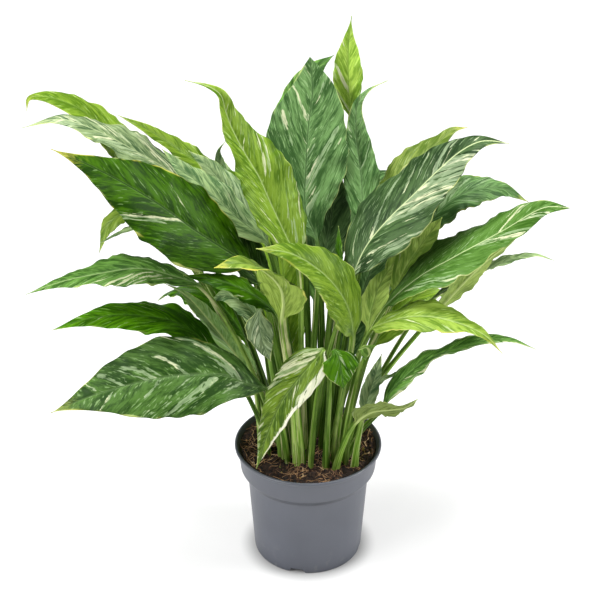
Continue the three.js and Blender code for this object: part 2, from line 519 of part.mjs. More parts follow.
// A slot through the foot that lets water out: wider at the ground
function notchGeometry(index) {
  const outline = new THREE.Shape();
  outline.moveTo(-NOTCH_WIDE / 2, -1);
  outline.lineTo(NOTCH_WIDE / 2, -1);
  outline.lineTo(NOTCH_NARROW / 2, NOTCH_HEIGHT);
  outline.lineTo(-NOTCH_NARROW / 2, NOTCH_HEIGHT);
  outline.closePath();
  const reach = 12;
  const slot = new THREE.ExtrudeGeometry(outline, { depth: reach, bevelEnabled: false });
  slot.rotateX(Math.PI / 2);
  slot.translate(0, FOOT_RADIUS + 3, 0);
  slot.rotateZ(THREE.MathUtils.degToRad(NOTCH_TURN - 90 + (360 / NOTCH_COUNT) * index));
  return slot;
}

// A round hole through the floor's raised ring
function drainGeometry(index) {
  const hole = new THREE.CylinderGeometry(DRAIN_RADIUS, DRAIN_RADIUS, 6, 10);
  hole.rotateX(Math.PI / 2);
  hole.translate(DRAIN_RING, 0, FLOOR_UNDERSIDE);
  hole.rotateZ((2 * Math.PI * (index + 0.5)) / DRAIN_COUNT);
  return hole;
}

// The soil's uneven top at a point
function soilTop(x, y) {
  const lumps = Math.sin(x * 0.19 + 1) * Math.cos(y * 0.23) + 0.7 * Math.sin(x * 0.41 - y * 0.33);
  return SOIL_TOP + SOIL_LUMP * lumps;
}

// A plug that fills the pot, with lumps on its top and a hole for each stalk
function soilGeometry() {
  const surfaceRadius = COLLAR_TOP_RADIUS - POT_WALL - 0.3 - SOIL_GAP;
  const top = [];
  for (let i = 0; i < SOIL_RINGS; i++) top.push([surfaceRadius * (1 - i / SOIL_RINGS), SOIL_TOP]);
  const wall = INNER_WALL.slice(0, 4).map(([r, z]) => [r - SOIL_GAP, z + SOIL_GAP / 2]);
  const bottom = [
    [0, POT_WALL + SOIL_GAP], [PAD_RADIUS - 2 - SOIL_GAP, POT_WALL + SOIL_GAP],
    [PAD_RADIUS - SOIL_GAP, FLOOR_UNDERSIDE + POT_WALL + SOIL_GAP],
    [FOOT_RADIUS - 1 - SOIL_GAP, FLOOR_UNDERSIDE + POT_WALL + SOIL_GAP],
  ];
  const plug = turned([...bottom, ...wall.slice(1), ...top, [0, SOIL_TOP]], SOIL_SIDES);
  const position = plug.attributes.position;
  for (let i = 0; i < position.count; i++) {
    if (Math.abs(position.getZ(i) - SOIL_TOP) > 1e-3) continue;
    position.setZ(i, soilTop(position.getX(i), position.getY(i)));
  }
  let solid = toSolid(plug);
  for (const leaf of LEAVES) solid = solid.subtract(toSolid(holeGeometry(leaf)));
  return toGeometry(solid);
}

function piece(name, geometry, colour, roughness) {
  const material = new THREE.MeshStandardMaterial({ color: colour, roughness, metalness: 0 });
  const mesh = new THREE.Mesh(geometry, material);
  mesh.name = name;
  return mesh;
}

const plant = new THREE.Group();
plant.add(piece('pot', potGeometry(), '#5d6269', 0.55));
plant.add(piece('soil', soilGeometry(), '#3a2a20', 0.95));
LEAVES.forEach((leaf, index) => {
  const { colour, roughness } = FINISHES[leaf.finish];
  const seed = (index * SEED_STEP) % 1;
  plant.add(piece(leaf.name, leafGeometry(leaf, seed), colour, roughness));
});

export default plant;
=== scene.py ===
import math

import bmesh
import bpy
import numpy as np
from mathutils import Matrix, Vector


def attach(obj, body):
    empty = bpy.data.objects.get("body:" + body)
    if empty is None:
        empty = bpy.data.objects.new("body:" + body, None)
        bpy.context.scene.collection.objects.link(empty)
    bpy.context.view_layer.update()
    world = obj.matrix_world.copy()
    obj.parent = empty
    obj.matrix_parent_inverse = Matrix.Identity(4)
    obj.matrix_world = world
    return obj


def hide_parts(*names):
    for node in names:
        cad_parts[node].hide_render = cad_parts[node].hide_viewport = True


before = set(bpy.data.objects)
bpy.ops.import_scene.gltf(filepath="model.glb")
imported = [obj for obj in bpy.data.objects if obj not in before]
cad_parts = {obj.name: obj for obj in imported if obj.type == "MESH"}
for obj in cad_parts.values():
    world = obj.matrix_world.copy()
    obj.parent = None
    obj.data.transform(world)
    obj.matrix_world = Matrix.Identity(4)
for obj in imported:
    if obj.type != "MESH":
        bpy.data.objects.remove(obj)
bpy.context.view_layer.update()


# Pot: a thin bucket injection-moulded in one piece from slate grey plastic, with a stepped
# shoulder, a straight collar to grip and a rolled lip. Water leaves through eight holes in the
# floor's ring and four slots in the foot. It stands on the ground on its foot ring and pad.

MM = 0.001
POT_HEIGHT = 102
LIP_RADIUS = 60
COLLAR_TOP_RADIUS = 57
COLLAR_FOOT_RADIUS = 55.5
COLLAR_FOOT = 82
BODY_TOP_RADIUS = 49.5
BODY_TOP = 72.5
FOOT_RADIUS = 43.3
POT_WALL = 1.4
FLOOR_UNDERSIDE = 4.5
PAD_RADIUS = 18
POT_SIDES = 160
NOTCH_COUNT = 4
NOTCH_TURN = -102
NOTCH_WIDE = 15.5
NOTCH_NARROW = 10
NOTCH_HEIGHT = 4.5
NOTCH_FROM = FOOT_RADIUS - 9
NOTCH_TO = FOOT_RADIUS + 3
DRAIN_COUNT = 8
DRAIN_RADIUS = 3.5
DRAIN_RING = 29
DRAIN_CUT = 6
POT_CREASE = 35

POT_INSIDE = [
    (FOOT_RADIUS - 1, FLOOR_UNDERSIDE + POT_WALL, 1.5),
    (BODY_TOP_RADIUS - POT_WALL, BODY_TOP + 0.5, 2),
    (BODY_TOP_RADIUS + 2.4, BODY_TOP + 6.4, 2),
    (COLLAR_FOOT_RADIUS - POT_WALL, COLLAR_FOOT + 0.4, 1.5),
    (COLLAR_TOP_RADIUS - POT_WALL, POT_HEIGHT - 4, 1.5),
    (LIP_RADIUS - 2.4, POT_HEIGHT - 0.6, 0.5),
]
POT_OUTSIDE = [
    (FOOT_RADIUS, 0, 0.5), (FOOT_RADIUS + 0.9, 1.6, 0.8), (FOOT_RADIUS + 1.3, 5, 1.5),
    (BODY_TOP_RADIUS, BODY_TOP, 1.6), (BODY_TOP_RADIUS + 1, BODY_TOP + 2.2, 1.2),
    (BODY_TOP_RADIUS + 4, BODY_TOP + 5.4, 1.2), (COLLAR_FOOT_RADIUS - 0.3, COLLAR_FOOT - 1.6, 0.8),
    (COLLAR_FOOT_RADIUS, COLLAR_FOOT, 0.5), (COLLAR_TOP_RADIUS, POT_HEIGHT - 4, 1.6),
    (LIP_RADIUS, POT_HEIGHT - 2.2, 0.7), (LIP_RADIUS, POT_HEIGHT - 0.7, 0.6),
    (LIP_RADIUS - 0.9, POT_HEIGHT, 0.5), (LIP_RADIUS - 1.8, POT_HEIGHT, 0.3),
]


def rounded(corners):
    """A profile of (radius, height, rounding) corners as points, its corners turned into arcs."""
    points = [corners[0][:2]]
    for before, corner, after in zip(corners, corners[1:], corners[2:]):
        middle = Vector(corner[:2])
        ends = []
        for other in (before, after):
            reach = Vector(other[:2]) - middle
            ends.append(middle + reach * min(0.45, corner[2] / max(reach.length, 1e-6)))
        for share in (0, 0.25, 0.5, 0.75, 1):
            near, far = ends[0].lerp(middle, share), middle.lerp(ends[1], share)
            points.append(tuple(near.lerp(far, share)))
    points.append(corners[-1][:2])
    return points


def turned(points, sides, height=lambda x, y, z: z):
    """A closed mesh turned about the pot's axis; a profile starts and ends on the axis."""
    mesh = bmesh.new()
    rings = []
    for radius, z in points:
        if radius < 1e-6:
            rings.append([mesh.verts.new((0, 0, height(0, 0, z) * MM))])
            continue
        ring = []
        for side in range(sides):
            turn = 2 * math.pi * side / sides
            x, y = radius * math.cos(turn), radius * math.sin(turn)
            ring.append(mesh.verts.new((x * MM, y * MM, height(x, y, z) * MM)))
        rings.append(ring)
    for low, high in zip(rings, rings[1:]):
        for side in range(sides):
            after = (side + 1) % sides
            corners = [low[side % len(low)], low[after % len(low)],
                       high[after % len(high)], high[side % len(high)]]
            mesh.faces.new(list(dict.fromkeys(corners)))
    bmesh.ops.recalc_face_normals(mesh, faces=mesh.faces)
    return mesh


def piece_from(mesh, name):
    """An object from a bmesh, at the origin."""
    data = bpy.data.meshes.new(name)
    mesh.to_mesh(data)
    mesh.free()
    made = bpy.data.objects.new(name, data)
    bpy.context.collection.objects.link(made)
    return made


def baked(piece):
    """The piece's own mesh becomes what its modifiers make of it, and they go."""
    settled = bpy.data.meshes.new_from_object(
        piece.evaluated_get(bpy.context.evaluated_depsgraph_get()))
    settled.name = piece.name
    piece.modifiers.clear()
    piece.data = settled


def shade(piece, crease=None):
    """Smooth shading, with edges sharper than the crease angle kept sharp."""
    mesh = bmesh.new()
    mesh.from_mesh(piece.data)
    for face in mesh.faces:
        face.smooth = True
    if crease:
        for edge in mesh.edges:
            edge.smooth = edge.calc_face_angle(0) < math.radians(crease)
    mesh.to_mesh(piece.data)
    mesh.free()


def operator(operation):
    """An operator of the Wire below and its reflected form, both as one Math node."""
    return (lambda self, other: self.worked(operation, self, other),
            lambda self, other: self.worked(operation, other, self))


class Wire:
    """One value on its way through a node tree. Plain arithmetic on it adds Math nodes."""

    def __init__(self, tree, socket):
        self.tree = tree
        self.socket = socket

    def worked(self, operation, first, second=0.0):
        return self.tree.node("ShaderNodeMath", {"operation": operation}, {0: first, 1: second})

    __add__, __radd__ = operator("ADD")
    __sub__, __rsub__ = operator("SUBTRACT")
    __mul__, __rmul__ = operator("MULTIPLY")
    __truediv__, __rtruediv__ = operator("DIVIDE")
    most, least = operator("MAXIMUM")[0], operator("MINIMUM")[0]

    def whole(self):
        return self.worked("FLOOR", self)

    def size(self):
        return self.worked("ABSOLUTE", self)

    def between(self, low, high):
        """0 below low, 1 above high and a smooth step from one to the other."""
        return self.tree.node("ShaderNodeMapRange", {"interpolation_type": "SMOOTHSTEP"},
                              {"Value": self, "From Min": low, "From Max": high})


class Tree:
    """A node tree that is being built."""

    def __init__(self, nodes):
        self.tree = nodes

    def node(self, kind, settings=None, values=None, output=0):
        """A new node: its settings first, then values or wires for its sockets."""
        made = self.tree.nodes.new(kind)
        for key, value in (settings or {}).items():
            setattr(made, key, value)
        for key, value in (values or {}).items():
            socket = made.inputs[key]
            if isinstance(value, Wire):
                self.tree.links.new(value.socket, socket)
            else:
                socket.default_value = value
        return Wire(self, made.outputs[output])

    def axis(self, place, which):
        """One of the three numbers of a place or a colour."""
        return self.node("ShaderNodeSeparateXYZ", values={0: place}, output=which)

    def combined(self, operation, first, second):
        return self.node("ShaderNodeVectorMath", {"operation": operation}, {0: first, 1: second})

    def times(self, place, size):
        return self.node("ShaderNodeVectorMath", {"operation": "SCALE"}, {0: place, "Scale": size})

    def length(self, place):
        return self.node("ShaderNodeVectorMath", {"operation": "LENGTH"}, {0: place}, "Value")


class Finish(Tree):
    """A procedural material: colour and roughness that vary, and a relief."""

    def __init__(self, name):
        self.material = bpy.data.materials.new(name)
        self.material.use_nodes = True
        super().__init__(self.material.node_tree)
        self.surface = self.tree.nodes["Principled BSDF"]

    def position(self):
        return self.node("ShaderNodeTexCoord", output="Object")

    def attribute(self, name):
        """The three numbers of a mesh attribute."""
        read = self.node("ShaderNodeAttribute", {"attribute_name": name}, output="Vector")
        return [self.axis(read, which) for which in range(3)]

    def at(self, x, y, z):
        return self.node("ShaderNodeCombineXYZ", values={0: x, 1: y, 2: z})

    def noise(self, place, scale=1.0, detail=2.0, roughness=0.5):
        return self.node("ShaderNodeTexNoise", values={
            "Vector": place, "Scale": scale, "Detail": detail, "Roughness": roughness})

    def mixed(self, share, first, second):
        return self.node("ShaderNodeMix", {"data_type": "RGBA"},
                         {0: share, 6: first, 7: second}, 2)

    def layered(self, colour, *coats):
        """A colour under coats of others, each with the share that it covers."""
        for share, coat in coats:
            colour = self.mixed(share, colour, coat)
        return colour

    def finished(self, colour, roughness, relief=None, depth=0.0, constants=None, glow=None):
        """The material, with its wires on the surface and its fixed numbers on their sockets."""
        for name, value in (("Base Color", colour), ("Roughness", roughness),
                            ("Emission Color", glow)):
            if value is not None:
                self.tree.links.new(value.socket, self.surface.inputs[name])
        if relief is not None:
            bump = self.node("ShaderNodeBump", values={
                "Height": relief, "Distance": depth, "Strength": 1.0})
            self.tree.links.new(bump.socket, self.surface.inputs["Normal"])
        for name, value in (constants or {}).items():
            self.surface.inputs[name].default_value = value
        return self.material


def paint(red, green, blue):
    """A colour as the eye reads it, 0 to 255, in the linear light that a shader works in."""
    return tuple((c / 255 / 12.92 if c <= 10 else ((c / 255 + 0.055) / 1.055) ** 2.4)
                 for c in (red, green, blue)) + (1.0,)


def moulded_plastic():
    """Slate plastic, drawn lengthwise by the mould, with painted shade on the slope under the
    collar, dusty at the foot.
    """
    pot = Finish("moulded_slate_plastic")
    place = pot.position()
    height = pot.axis(place, 2)
    cloudy = pot.noise(place, 28, 3)
    grain = pot.noise(place, 2600, 2)
    drawn = pot.noise(pot.combined("MULTIPLY", place, (260, 260, 14)))
    # A darker band on the downward slope under the collar: painted shade.
    painted_shade_under_collar = height.between(0.0715, 0.0745) * (1 - height.between(0.078, 0.0822))
    dust = pot.noise(place, 90, 4).between(0.56, 0.72) * (1 - height.between(0.004, 0.03))
    colour = pot.layered(
        paint(66, 70, 81), (cloudy.between(0.35, 0.65), paint(72, 76, 87)),
        (height.between(0.02, 0.1) * 0.4, paint(84, 87, 95)),
        (painted_shade_under_collar * 0.6, paint(38, 41, 50)), (dust * 0.25, paint(132, 130, 126)))
    roughness = 0.34 + cloudy * 0.12 + drawn * 0.08
    return pot.finished(colour, roughness, grain * 0.55 + drawn * 0.45, 0.00006,
                        {"Specular IOR Level": 0.8})


pot_underside = [
    (0, 0, 0), (PAD_RADIUS, 0, 0.5), (PAD_RADIUS + 2, FLOOR_UNDERSIDE, 0.8),
    (FOOT_RADIUS - 5.5, FLOOR_UNDERSIDE, 0.8), (FOOT_RADIUS - 3.5, 0, 0.5),
]
pot_floor = [(PAD_RADIUS, FLOOR_UNDERSIDE + POT_WALL, 0.8), (PAD_RADIUS - 2, POT_WALL, 0.5),
             (0, POT_WALL, 0)]
pot = piece_from(turned(rounded(
    pot_underside + POT_OUTSIDE + POT_INSIDE[::-1] + pot_floor), POT_SIDES), "pot_bucket")

cutters = bmesh.new()
for index in range(NOTCH_COUNT):
    turn = math.radians(NOTCH_TURN + 360 / NOTCH_COUNT * index)
    out = Vector((math.cos(turn), math.sin(turn), 0))
    side = Vector((-out.y, out.x, 0))
    ends = []
    for reach in (NOTCH_FROM, NOTCH_TO):
        ends.append([cutters.verts.new((out * reach + side * across + Vector((0, 0, up))) * MM)
                     for across, up in ((-NOTCH_WIDE / 2, -1), (NOTCH_WIDE / 2, -1),
                                        (NOTCH_NARROW / 2, NOTCH_HEIGHT),
                                        (-NOTCH_NARROW / 2, NOTCH_HEIGHT))])
    cutters.faces.new(ends[0])
    cutters.faces.new(ends[1])
    for corner in range(4):
        after = (corner + 1) % 4
        cutters.faces.new((ends[0][corner], ends[0][after], ends[1][after], ends[1][corner]))
for index in range(DRAIN_COUNT):
    turn = 2 * math.pi * (index + 0.5) / DRAIN_COUNT
    hole = bmesh.ops.create_cone(cutters, cap_ends=True, segments=32, radius1=DRAIN_RADIUS * MM,
                                 radius2=DRAIN_RADIUS * MM, depth=DRAIN_CUT * MM)
    bmesh.ops.translate(cutters, verts=hole["verts"], vec=Vector(
        (DRAIN_RING * math.cos(turn), DRAIN_RING * math.sin(turn), FLOOR_UNDERSIDE)) * MM)
bmesh.ops.recalc_face_normals(cutters, faces=cutters.faces)
cutter = piece_from(cutters, "pot_cutter")
cut = pot.modifiers.new("openings", "BOOLEAN")
cut.object, cut.operation, cut.solver = cutter, "DIFFERENCE", "EXACT"
baked(pot)
bpy.data.objects.remove(cutter)
shade(pot, POT_CREASE)
pot.data.materials.append(moulded_plastic())
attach(pot, "root")
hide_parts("pot")


# Soil: dark peat pressed round the roots, level a little below the pot's lip. Its top is loose
# crumbs and a mat of tan coir fibres, with chips of bark and moss, and a few pale roots that
# have worked their way out. All of it only lies there.

SOIL_TOP = 95
SOIL_GAP = 0.4
SOIL_LUMP = 1.1
SOIL_RISE = 2.6
SOIL_BRIM = 55.7
BRIM_RISE = 1.1
BRIM_WIDTH = 9
CLOD_EDGE = 3
SOIL_RADIUS = COLLAR_TOP_RADIUS - POT_WALL - 0.3 - SOIL_GAP
SOIL_SIDES = 200
SOIL_RINGS = 72
SOIL_SEED = 40
CLODS = [(11, 1.3), (5, 1.0), (2.3, 0.75)]
LATTICE = 128


def lattice(x, y, size, seed):
    """Smooth random heights from -1 to 1 over the plane, size mm from lump to lump."""
    draw = np.random.default_rng(seed).uniform(-1, 1, (LATTICE, LATTICE))
    x, y = x / size + LATTICE / 2, y / size + LATTICE / 2
    left, low = math.floor(x), math.floor(y)
    p, q = x - left, y - low
    p, q = p * p * (3 - 2 * p), q * q * (3 - 2 * q)
    near, far = (draw[left % LATTICE, (low + k) % LATTICE] * (1 - p)
                 + draw[(left + 1) % LATTICE, (low + k) % LATTICE] * p for k in (0, 1))
    return near * (1 - q) + far * q


def soil_height(x, y, z):
    """The level top turned into clods; the wall and the bottom stay as they are."""
    if abs(z - SOIL_TOP) > 1e-6:
        return z
    inward = SOIL_BRIM - math.hypot(x, y)
    edge = min(1.0, inward / CLOD_EDGE)
    brim = max(0.0, 1 - inward / BRIM_WIDTH) * BRIM_RISE
    lumps = math.sin(x * 0.19 + 1) * math.cos(y * 0.23) + 0.7 * math.sin(x * 0.41 - y * 0.33)
    rough = sum(lattice(x, y, size, SOIL_SEED + k) * rise
                for k, (size, rise) in enumerate(CLODS))
    return z + SOIL_RISE + brim + SOIL_LUMP * lumps * edge + rough * edge


def peat():
    """Dark crumbling peat with drier, paler dust on its clods."""
    soil = Finish("dark_peat")
    place = soil.position()
    clods = soil.noise(place, 210, 4, 0.6)
    dust = soil.noise(place, 900, 3, 0.7)
    colour = soil.layered(paint(15, 9, 5), (clods.between(0.32, 0.62), paint(48, 31, 20)),
                          (dust.between(0.56, 0.74) * 0.45, paint(98, 70, 45)))
    return soil.finished(colour, 0.85 + dust * 0.1, clods * 0.6 + dust * 0.4, 0.0012)


soil_wall = [(r - SOIL_GAP, z + SOIL_GAP / 2, 0.3) for r, z, _ in POT_INSIDE[1:4]]
soil_profile = rounded([
    (0, POT_WALL + SOIL_GAP, 0), (PAD_RADIUS - 2 - SOIL_GAP, POT_WALL + SOIL_GAP, 0.3),
    (PAD_RADIUS - SOIL_GAP, FLOOR_UNDERSIDE + POT_WALL + SOIL_GAP, 0.3),
    (FOOT_RADIUS - 1 - SOIL_GAP, FLOOR_UNDERSIDE + POT_WALL + SOIL_GAP, 0.3)] + soil_wall
    + [(SOIL_RADIUS, SOIL_TOP - 0.5, 0)])
soil_profile += [(SOIL_BRIM * (1 - k / SOIL_RINGS), SOIL_TOP) for k in range(SOIL_RINGS)]
soil = piece_from(turned(soil_profile + [(0, SOIL_TOP)], SOIL_SIDES, soil_height), "soil_plug")
shade(soil)
soil.data.materials.append(peat())
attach(soil, "root")
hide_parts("soil")


def grown_on(base, name, inputs, build):
    """A piece that a Geometry Nodes tree grows on a base, turned into a plain mesh."""
    group = bpy.data.node_groups.new(name, "GeometryNodeTree")
    kinds = {int: "NodeSocketInt", float: "NodeSocketFloat"}
    sockets = {"Base": group.interface.new_socket(
        "Base", in_out="INPUT", socket_type="NodeSocketObject")}
    for label, value in inputs.items():
        kind = kinds.get(type(value), "NodeSocketMaterial")
        sockets[label] = group.interface.new_socket(label, in_out="INPUT", socket_type=kind)
    group.interface.new_socket("Geometry", in_out="OUTPUT", socket_type="NodeSocketGeometry")
    tree = Tree(group)
    entry = group.nodes.new("NodeGroupInput")
    wires = {label: Wire(tree, entry.outputs[label]) for label in sockets}
    wires["Base"] = tree.node("GeometryNodeObjectInfo", values={"Object": wires["Base"]},
                              output="Geometry")
    result = tree.node("GeometryNodeSetMaterial", values={
        "Geometry": tree.node("GeometryNodeRealizeInstances", values={
            "Geometry": build(tree, wires)}), "Material": wires["Material"]})
    leave = group.nodes.new("NodeGroupOutput")
    group.links.new(result.socket, leave.inputs[0])
    made = bpy.data.objects.new(name, bpy.data.meshes.new(name))
    bpy.context.collection.objects.link(made)
    modifier = made.modifiers.new(name, "NODES")
    modifier.node_group = group
    modifier[sockets["Base"].identifier] = base
    for label, value in inputs.items():
        modifier[sockets[label].identifier] = value
    baked(made)
    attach(made, "root")
    return made


TOP_FACES_UP = 0.3
TOP_FROM = 0.088
FULL_TURN = 6.28
FIBRE_REACH = 0.0552
FIBRE_BEDDING = 0.0007
FIBRE_PARTS = 16
FIBRE_SIDES = 5
DROP_FROM = 0.12
DROP_LENGTH = 0.1


def random_vector(tree, low, high, seed):
    return tree.node("FunctionNodeRandomValue", {"data_type": "FLOAT_VECTOR"},
                     {0: low, 1: high, "Seed": seed})


def random_number(tree, low, high, seed):
    return tree.node("FunctionNodeRandomValue", {"data_type": "FLOAT"},
                     {2: low, 3: high, "Seed": seed}, 1)


def soil_points(tree, wires):
    """Points scattered over the soil's top, as far out as the reach."""
    place = tree.node("GeometryNodeInputPosition")
    up = tree.axis(tree.node("GeometryNodeInputNormal"), 2)
    out = tree.length(tree.combined("MULTIPLY", place, (1, 1, 0)))
    top = True
    for more, less in ((up, TOP_FACES_UP), (tree.axis(place, 2), TOP_FROM), (wires["Reach"], out)):
        top = tree.node("FunctionNodeBooleanMath", {"operation": "AND"}, {
            0: top, 1: tree.node("FunctionNodeCompare", {"operation": "GREATER_THAN"},
                                 {0: more, 1: less})})
    return tree.node("GeometryNodeDistributePointsOnFaces", values={
        "Mesh": wires["Base"], "Selection": top, "Density": wires["Density"],
        "Seed": wires["Seed"]})


def crumbs(tree, wires):
    """Lumps of peat: small rough balls, squashed and turned at random."""
    ball = tree.node("GeometryNodeMeshIcoSphere", values={"Radius": 1.0, "Subdivisions": 2})
    place = tree.node("GeometryNodeInputPosition")
    rough = tree.node("ShaderNodeTexNoise", values={"Vector": place, "Scale": 1.6, "Detail": 2.0},
                      output="Color")
    ball = tree.node("GeometryNodeSetPosition", values={
        "Geometry": ball, "Offset": tree.combined("MULTIPLY", tree.combined(
            "SUBTRACT", rough, (0.5, 0.5, 0.5)), (1.6, 1.6, 1.6))})
    size = random_number(tree, 0.25, 1.0, wires["Seed"] + 1)
    size = size * size * wires["Size"]
    shape = random_vector(tree, (0.7, 0.7, 0.5), (1.3, 1.3, 0.9), wires["Seed"] + 2)
    turn = random_vector(tree, (0, 0, 0), (FULL_TURN,) * 3, wires["Seed"] + 3)
    return tree.node("GeometryNodeInstanceOnPoints", values={
        "Points": soil_points(tree, wires), "Instance": ball, "Rotation": turn,
        "Scale": tree.times(shape, size)})


def fibres(tree, wires):
    """Curly threads that lie on the soil, each resting on the clods below it."""
    thread = tree.node("GeometryNodeCurvePrimitiveLine", values={
        "Start": (-0.5, 0, 0), "End": (0.5, 0, 0)})
    thread = tree.node("GeometryNodeResampleCurve", values={
        "Curve": thread, "Count": FIBRE_PARTS})
    length = random_number(tree, 0.25, 1.0, wires["Seed"] + 1) * wires["Length"]
    turn = random_vector(tree, (0, 0, 0), (0, 0, FULL_TURN), wires["Seed"] + 2)
    laid = tree.node("GeometryNodeRealizeInstances", values={
        "Geometry": tree.node("GeometryNodeInstanceOnPoints", values={
            "Points": soil_points(tree, wires), "Instance": thread, "Rotation": turn,
            "Scale": length})})
    laid = tree.node("GeometryNodeStoreNamedAttribute", {"domain": "CURVE"}, {
        "Geometry": laid, "Name": "own", "Value": random_number(tree, 0, 9, wires["Seed"] + 4)})
    own = tree.node("GeometryNodeInputNamedAttribute", values={"Name": "own"})
    place = tree.node("GeometryNodeInputPosition")
    drift = tree.node("ShaderNodeTexNoise", {"noise_dimensions": "4D"}, {
        "Vector": place, "W": own, "Scale": 95.0, "Detail": 1.5}, "Color")
    drift = tree.combined("SUBTRACT", drift, (0.5, 0.5, 0.5))
    moved = tree.node("GeometryNodeSetPosition", values={
        "Geometry": laid, "Offset": tree.times(
            tree.combined("MULTIPLY", drift, (1, 1, 0)), wires["Curl"])})
    flat = tree.combined("MULTIPLY", place, (1, 1, 0))
    inside = (FIBRE_REACH / tree.length(flat)).least(1.0)
    below = tree.node("GeometryNodeRaycast", values={
        "Target Geometry": wires["Base"], "Source Position": tree.combined(
            "ADD", tree.times(flat, inside), (0, 0, DROP_FROM)),
        "Ray Direction": (0, 0, -1), "Ray Length": DROP_LENGTH}, output="Hit Position")
    lift = tree.node("ShaderNodeTexNoise", {"noise_dimensions": "4D"}, {
        "Vector": place, "W": own + 30, "Scale": 60.0, "Detail": 1.0}, "Fac")
    lift = lift.between(0.4, 0.75) * wires["Lift"] + FIBRE_BEDDING
    moved = tree.node("GeometryNodeSetPosition", values={
        "Geometry": moved, "Position": tree.combined("ADD", below, tree.node(
            "ShaderNodeCombineXYZ", values={2: lift}))})
    ring = tree.node("GeometryNodeCurvePrimitiveCircle", values={
        "Resolution": FIBRE_SIDES, "Radius": wires["Thickness"]})
    return tree.node("GeometryNodeCurveToMesh", values={"Curve": moved, "Profile Curve": ring})


def crumb_finish():
    """Peat in all its browns, from wet and dark to a dry tan."""
    crumb = Finish("peat_crumbs")
    place = crumb.position()
    which = crumb.noise(place, 260, 2, 0.6)
    speck = crumb.noise(place, 1500, 2)
    colour = crumb.layered(paint(17, 10, 6), (which.between(0.38, 0.62), paint(66, 44, 29)),
                           (which.between(0.6, 0.7) * 0.8, paint(112, 82, 54)))
    return crumb.finished(colour, 0.85 + speck * 0.1, speck, 0.0004)


def chip_finish():
    """Olive moss, tan bark and a few pinkish splinters."""
    chip = Finish("bark_and_moss_chips")
    which = chip.noise(chip.position(), 150, 2, 0.6)
    colour = chip.layered(paint(96, 108, 42), (which.between(0.42, 0.5), paint(176, 138, 70)),
                          (which.between(0.54, 0.62), paint(206, 178, 156)))
    return chip.finished(colour, 0.75 + which * 0.1, chip.noise(chip.position(), 1500, 2), 0.0003)


def fibre_finish(name, dull, bright):
    """A dry thread, from its dull colour to its bright one along its run."""
    fibre = Finish(name)
    place = fibre.position()
    which = fibre.noise(place, 120, 2)
    colour = fibre.mixed(which.between(0.35, 0.65), dull, bright)
    return fibre.finished(colour, 0.7 + which * 0.2, fibre.noise(place, 2500, 1), 0.0001)


loose = grown_on(soil, "soil_crumbs", {
    "Density": 190000.0, "Reach": 0.0535, "Size": 0.0019, "Seed": 5,
    "Material": crumb_finish()}, crumbs)
coir = grown_on(soil, "soil_fibres", {
    "Density": 30000.0, "Reach": 0.0553, "Length": 0.02, "Curl": 0.013, "Lift": 0.003,
    "Thickness": 0.00015, "Seed": 11,
    "Material": fibre_finish("coir_fibre", paint(96, 62, 38), paint(190, 148, 104))}, fibres)
chips = grown_on(soil, "soil_chips", {
    "Density": 1700.0, "Reach": 0.0525, "Size": 0.0021, "Seed": 31,
    "Material": chip_finish()}, crumbs)
roots = grown_on(soil, "soil_roots", {
    "Density": 1300.0, "Reach": 0.0553, "Length": 0.04, "Curl": 0.03, "Lift": 0.004,
    "Thickness": 0.0003, "Seed": 23,
    "Material": fibre_finish("pale_root", paint(168, 130, 90), paint(222, 190, 146))}, fibres)


# Middle leaves: the oldest and tallest, upright behind the rest. Each leaf is one blade on its
# own channelled stalk, which widens at its foot and stands in the soil; nothing else holds it.

ROOT_DEPTH = 12
STALK_WIDTHS = (6.6, 4)
STALK_THICK = (4.6, 3.2)
STALK_BOW = 0.14
BLADE_THICK = 0.5
EDGE_THICK = 0.25
BELLY = 0.4
TAPER = 1.25
FOLD = 0.2
SWEEP = 1.7
CHANNEL_DEPTH = 0.3
CHANNEL_WIDTH = 0.42
EDGE_DROOP = 0.22
EDGE_UNEVEN = 0.045
TIP_HALF = 0.3
WAVES = 1.6
WAVES_MORE = 0.9
WAVE_LAG = 1.9
RIPPLE = 0.6
FRILL = 0.25
PUCKER = 0.3
VEIN_STEP = 6.2
VEIN_RELIEF = 0.28
GROOVE_DEPTH = 0.35
GROOVE_WIDTH = 1.1
KEEL_WIDTH = 1.5
JOIN_LENGTH = 11
SEED_STEP = 0.618
ROW_STEP = 1.5
STALK_STEP = 5
FINE_STEPS = 500
LEAST_ROWS = 8
COLUMN_WIDTH = 2.8
COLUMNS = (9, 24)
STREAK = 0.4
CREAM = 0.3
# MIDLINE is the default line: below zero it paints shade into the sunk midrib on top, above zero
# it makes the midrib pale.
MIDLINE = -0.6
TINTS = {
    "deep": paint(52, 94, 5),
    "blue": paint(75, 108, 61),
    "forest": paint(66, 102, 42),
    "fresh": paint(106, 140, 42),
    "lime": paint(122, 153, 60),
    "silver": paint(110, 134, 90),
    "olive": paint(109, 132, 62),
}
leaves_grown = []


def along_curve(points, shares):
    """Points of a smooth curve through the given ones, at shares of its run from 0 to 1."""
    points = np.array(points, float)
    whole = np.vstack([2 * points[0] - points[1], points, 2 * points[-1] - points[-2]])
    run = np.asarray(shares) * (len(points) - 1)
    at = np.minimum(run.astype(int), len(points) - 2)
    part = (run - at)[:, None]
    a, b, c, d = (whole[at + k] for k in range(4))
    gaps = [np.maximum(((q - p) ** 2).sum(1, keepdims=True) ** 0.25, 1e-4)
            for p, q in ((a, b), (b, c), (c, d))]
    leave = ((b - a) / gaps[0] - (c - a) / (gaps[0] + gaps[1]) + (c - b) / gaps[1]) * gaps[1]
    enter = ((c - b) / gaps[1] - (d - b) / (gaps[1] + gaps[2]) + (d - c) / gaps[2]) * gaps[1]
    return (b + leave * part + (3 * (c - b) - 2 * leave - enter) * part ** 2
            + (2 * (b - c) + leave + enter) * part ** 3)


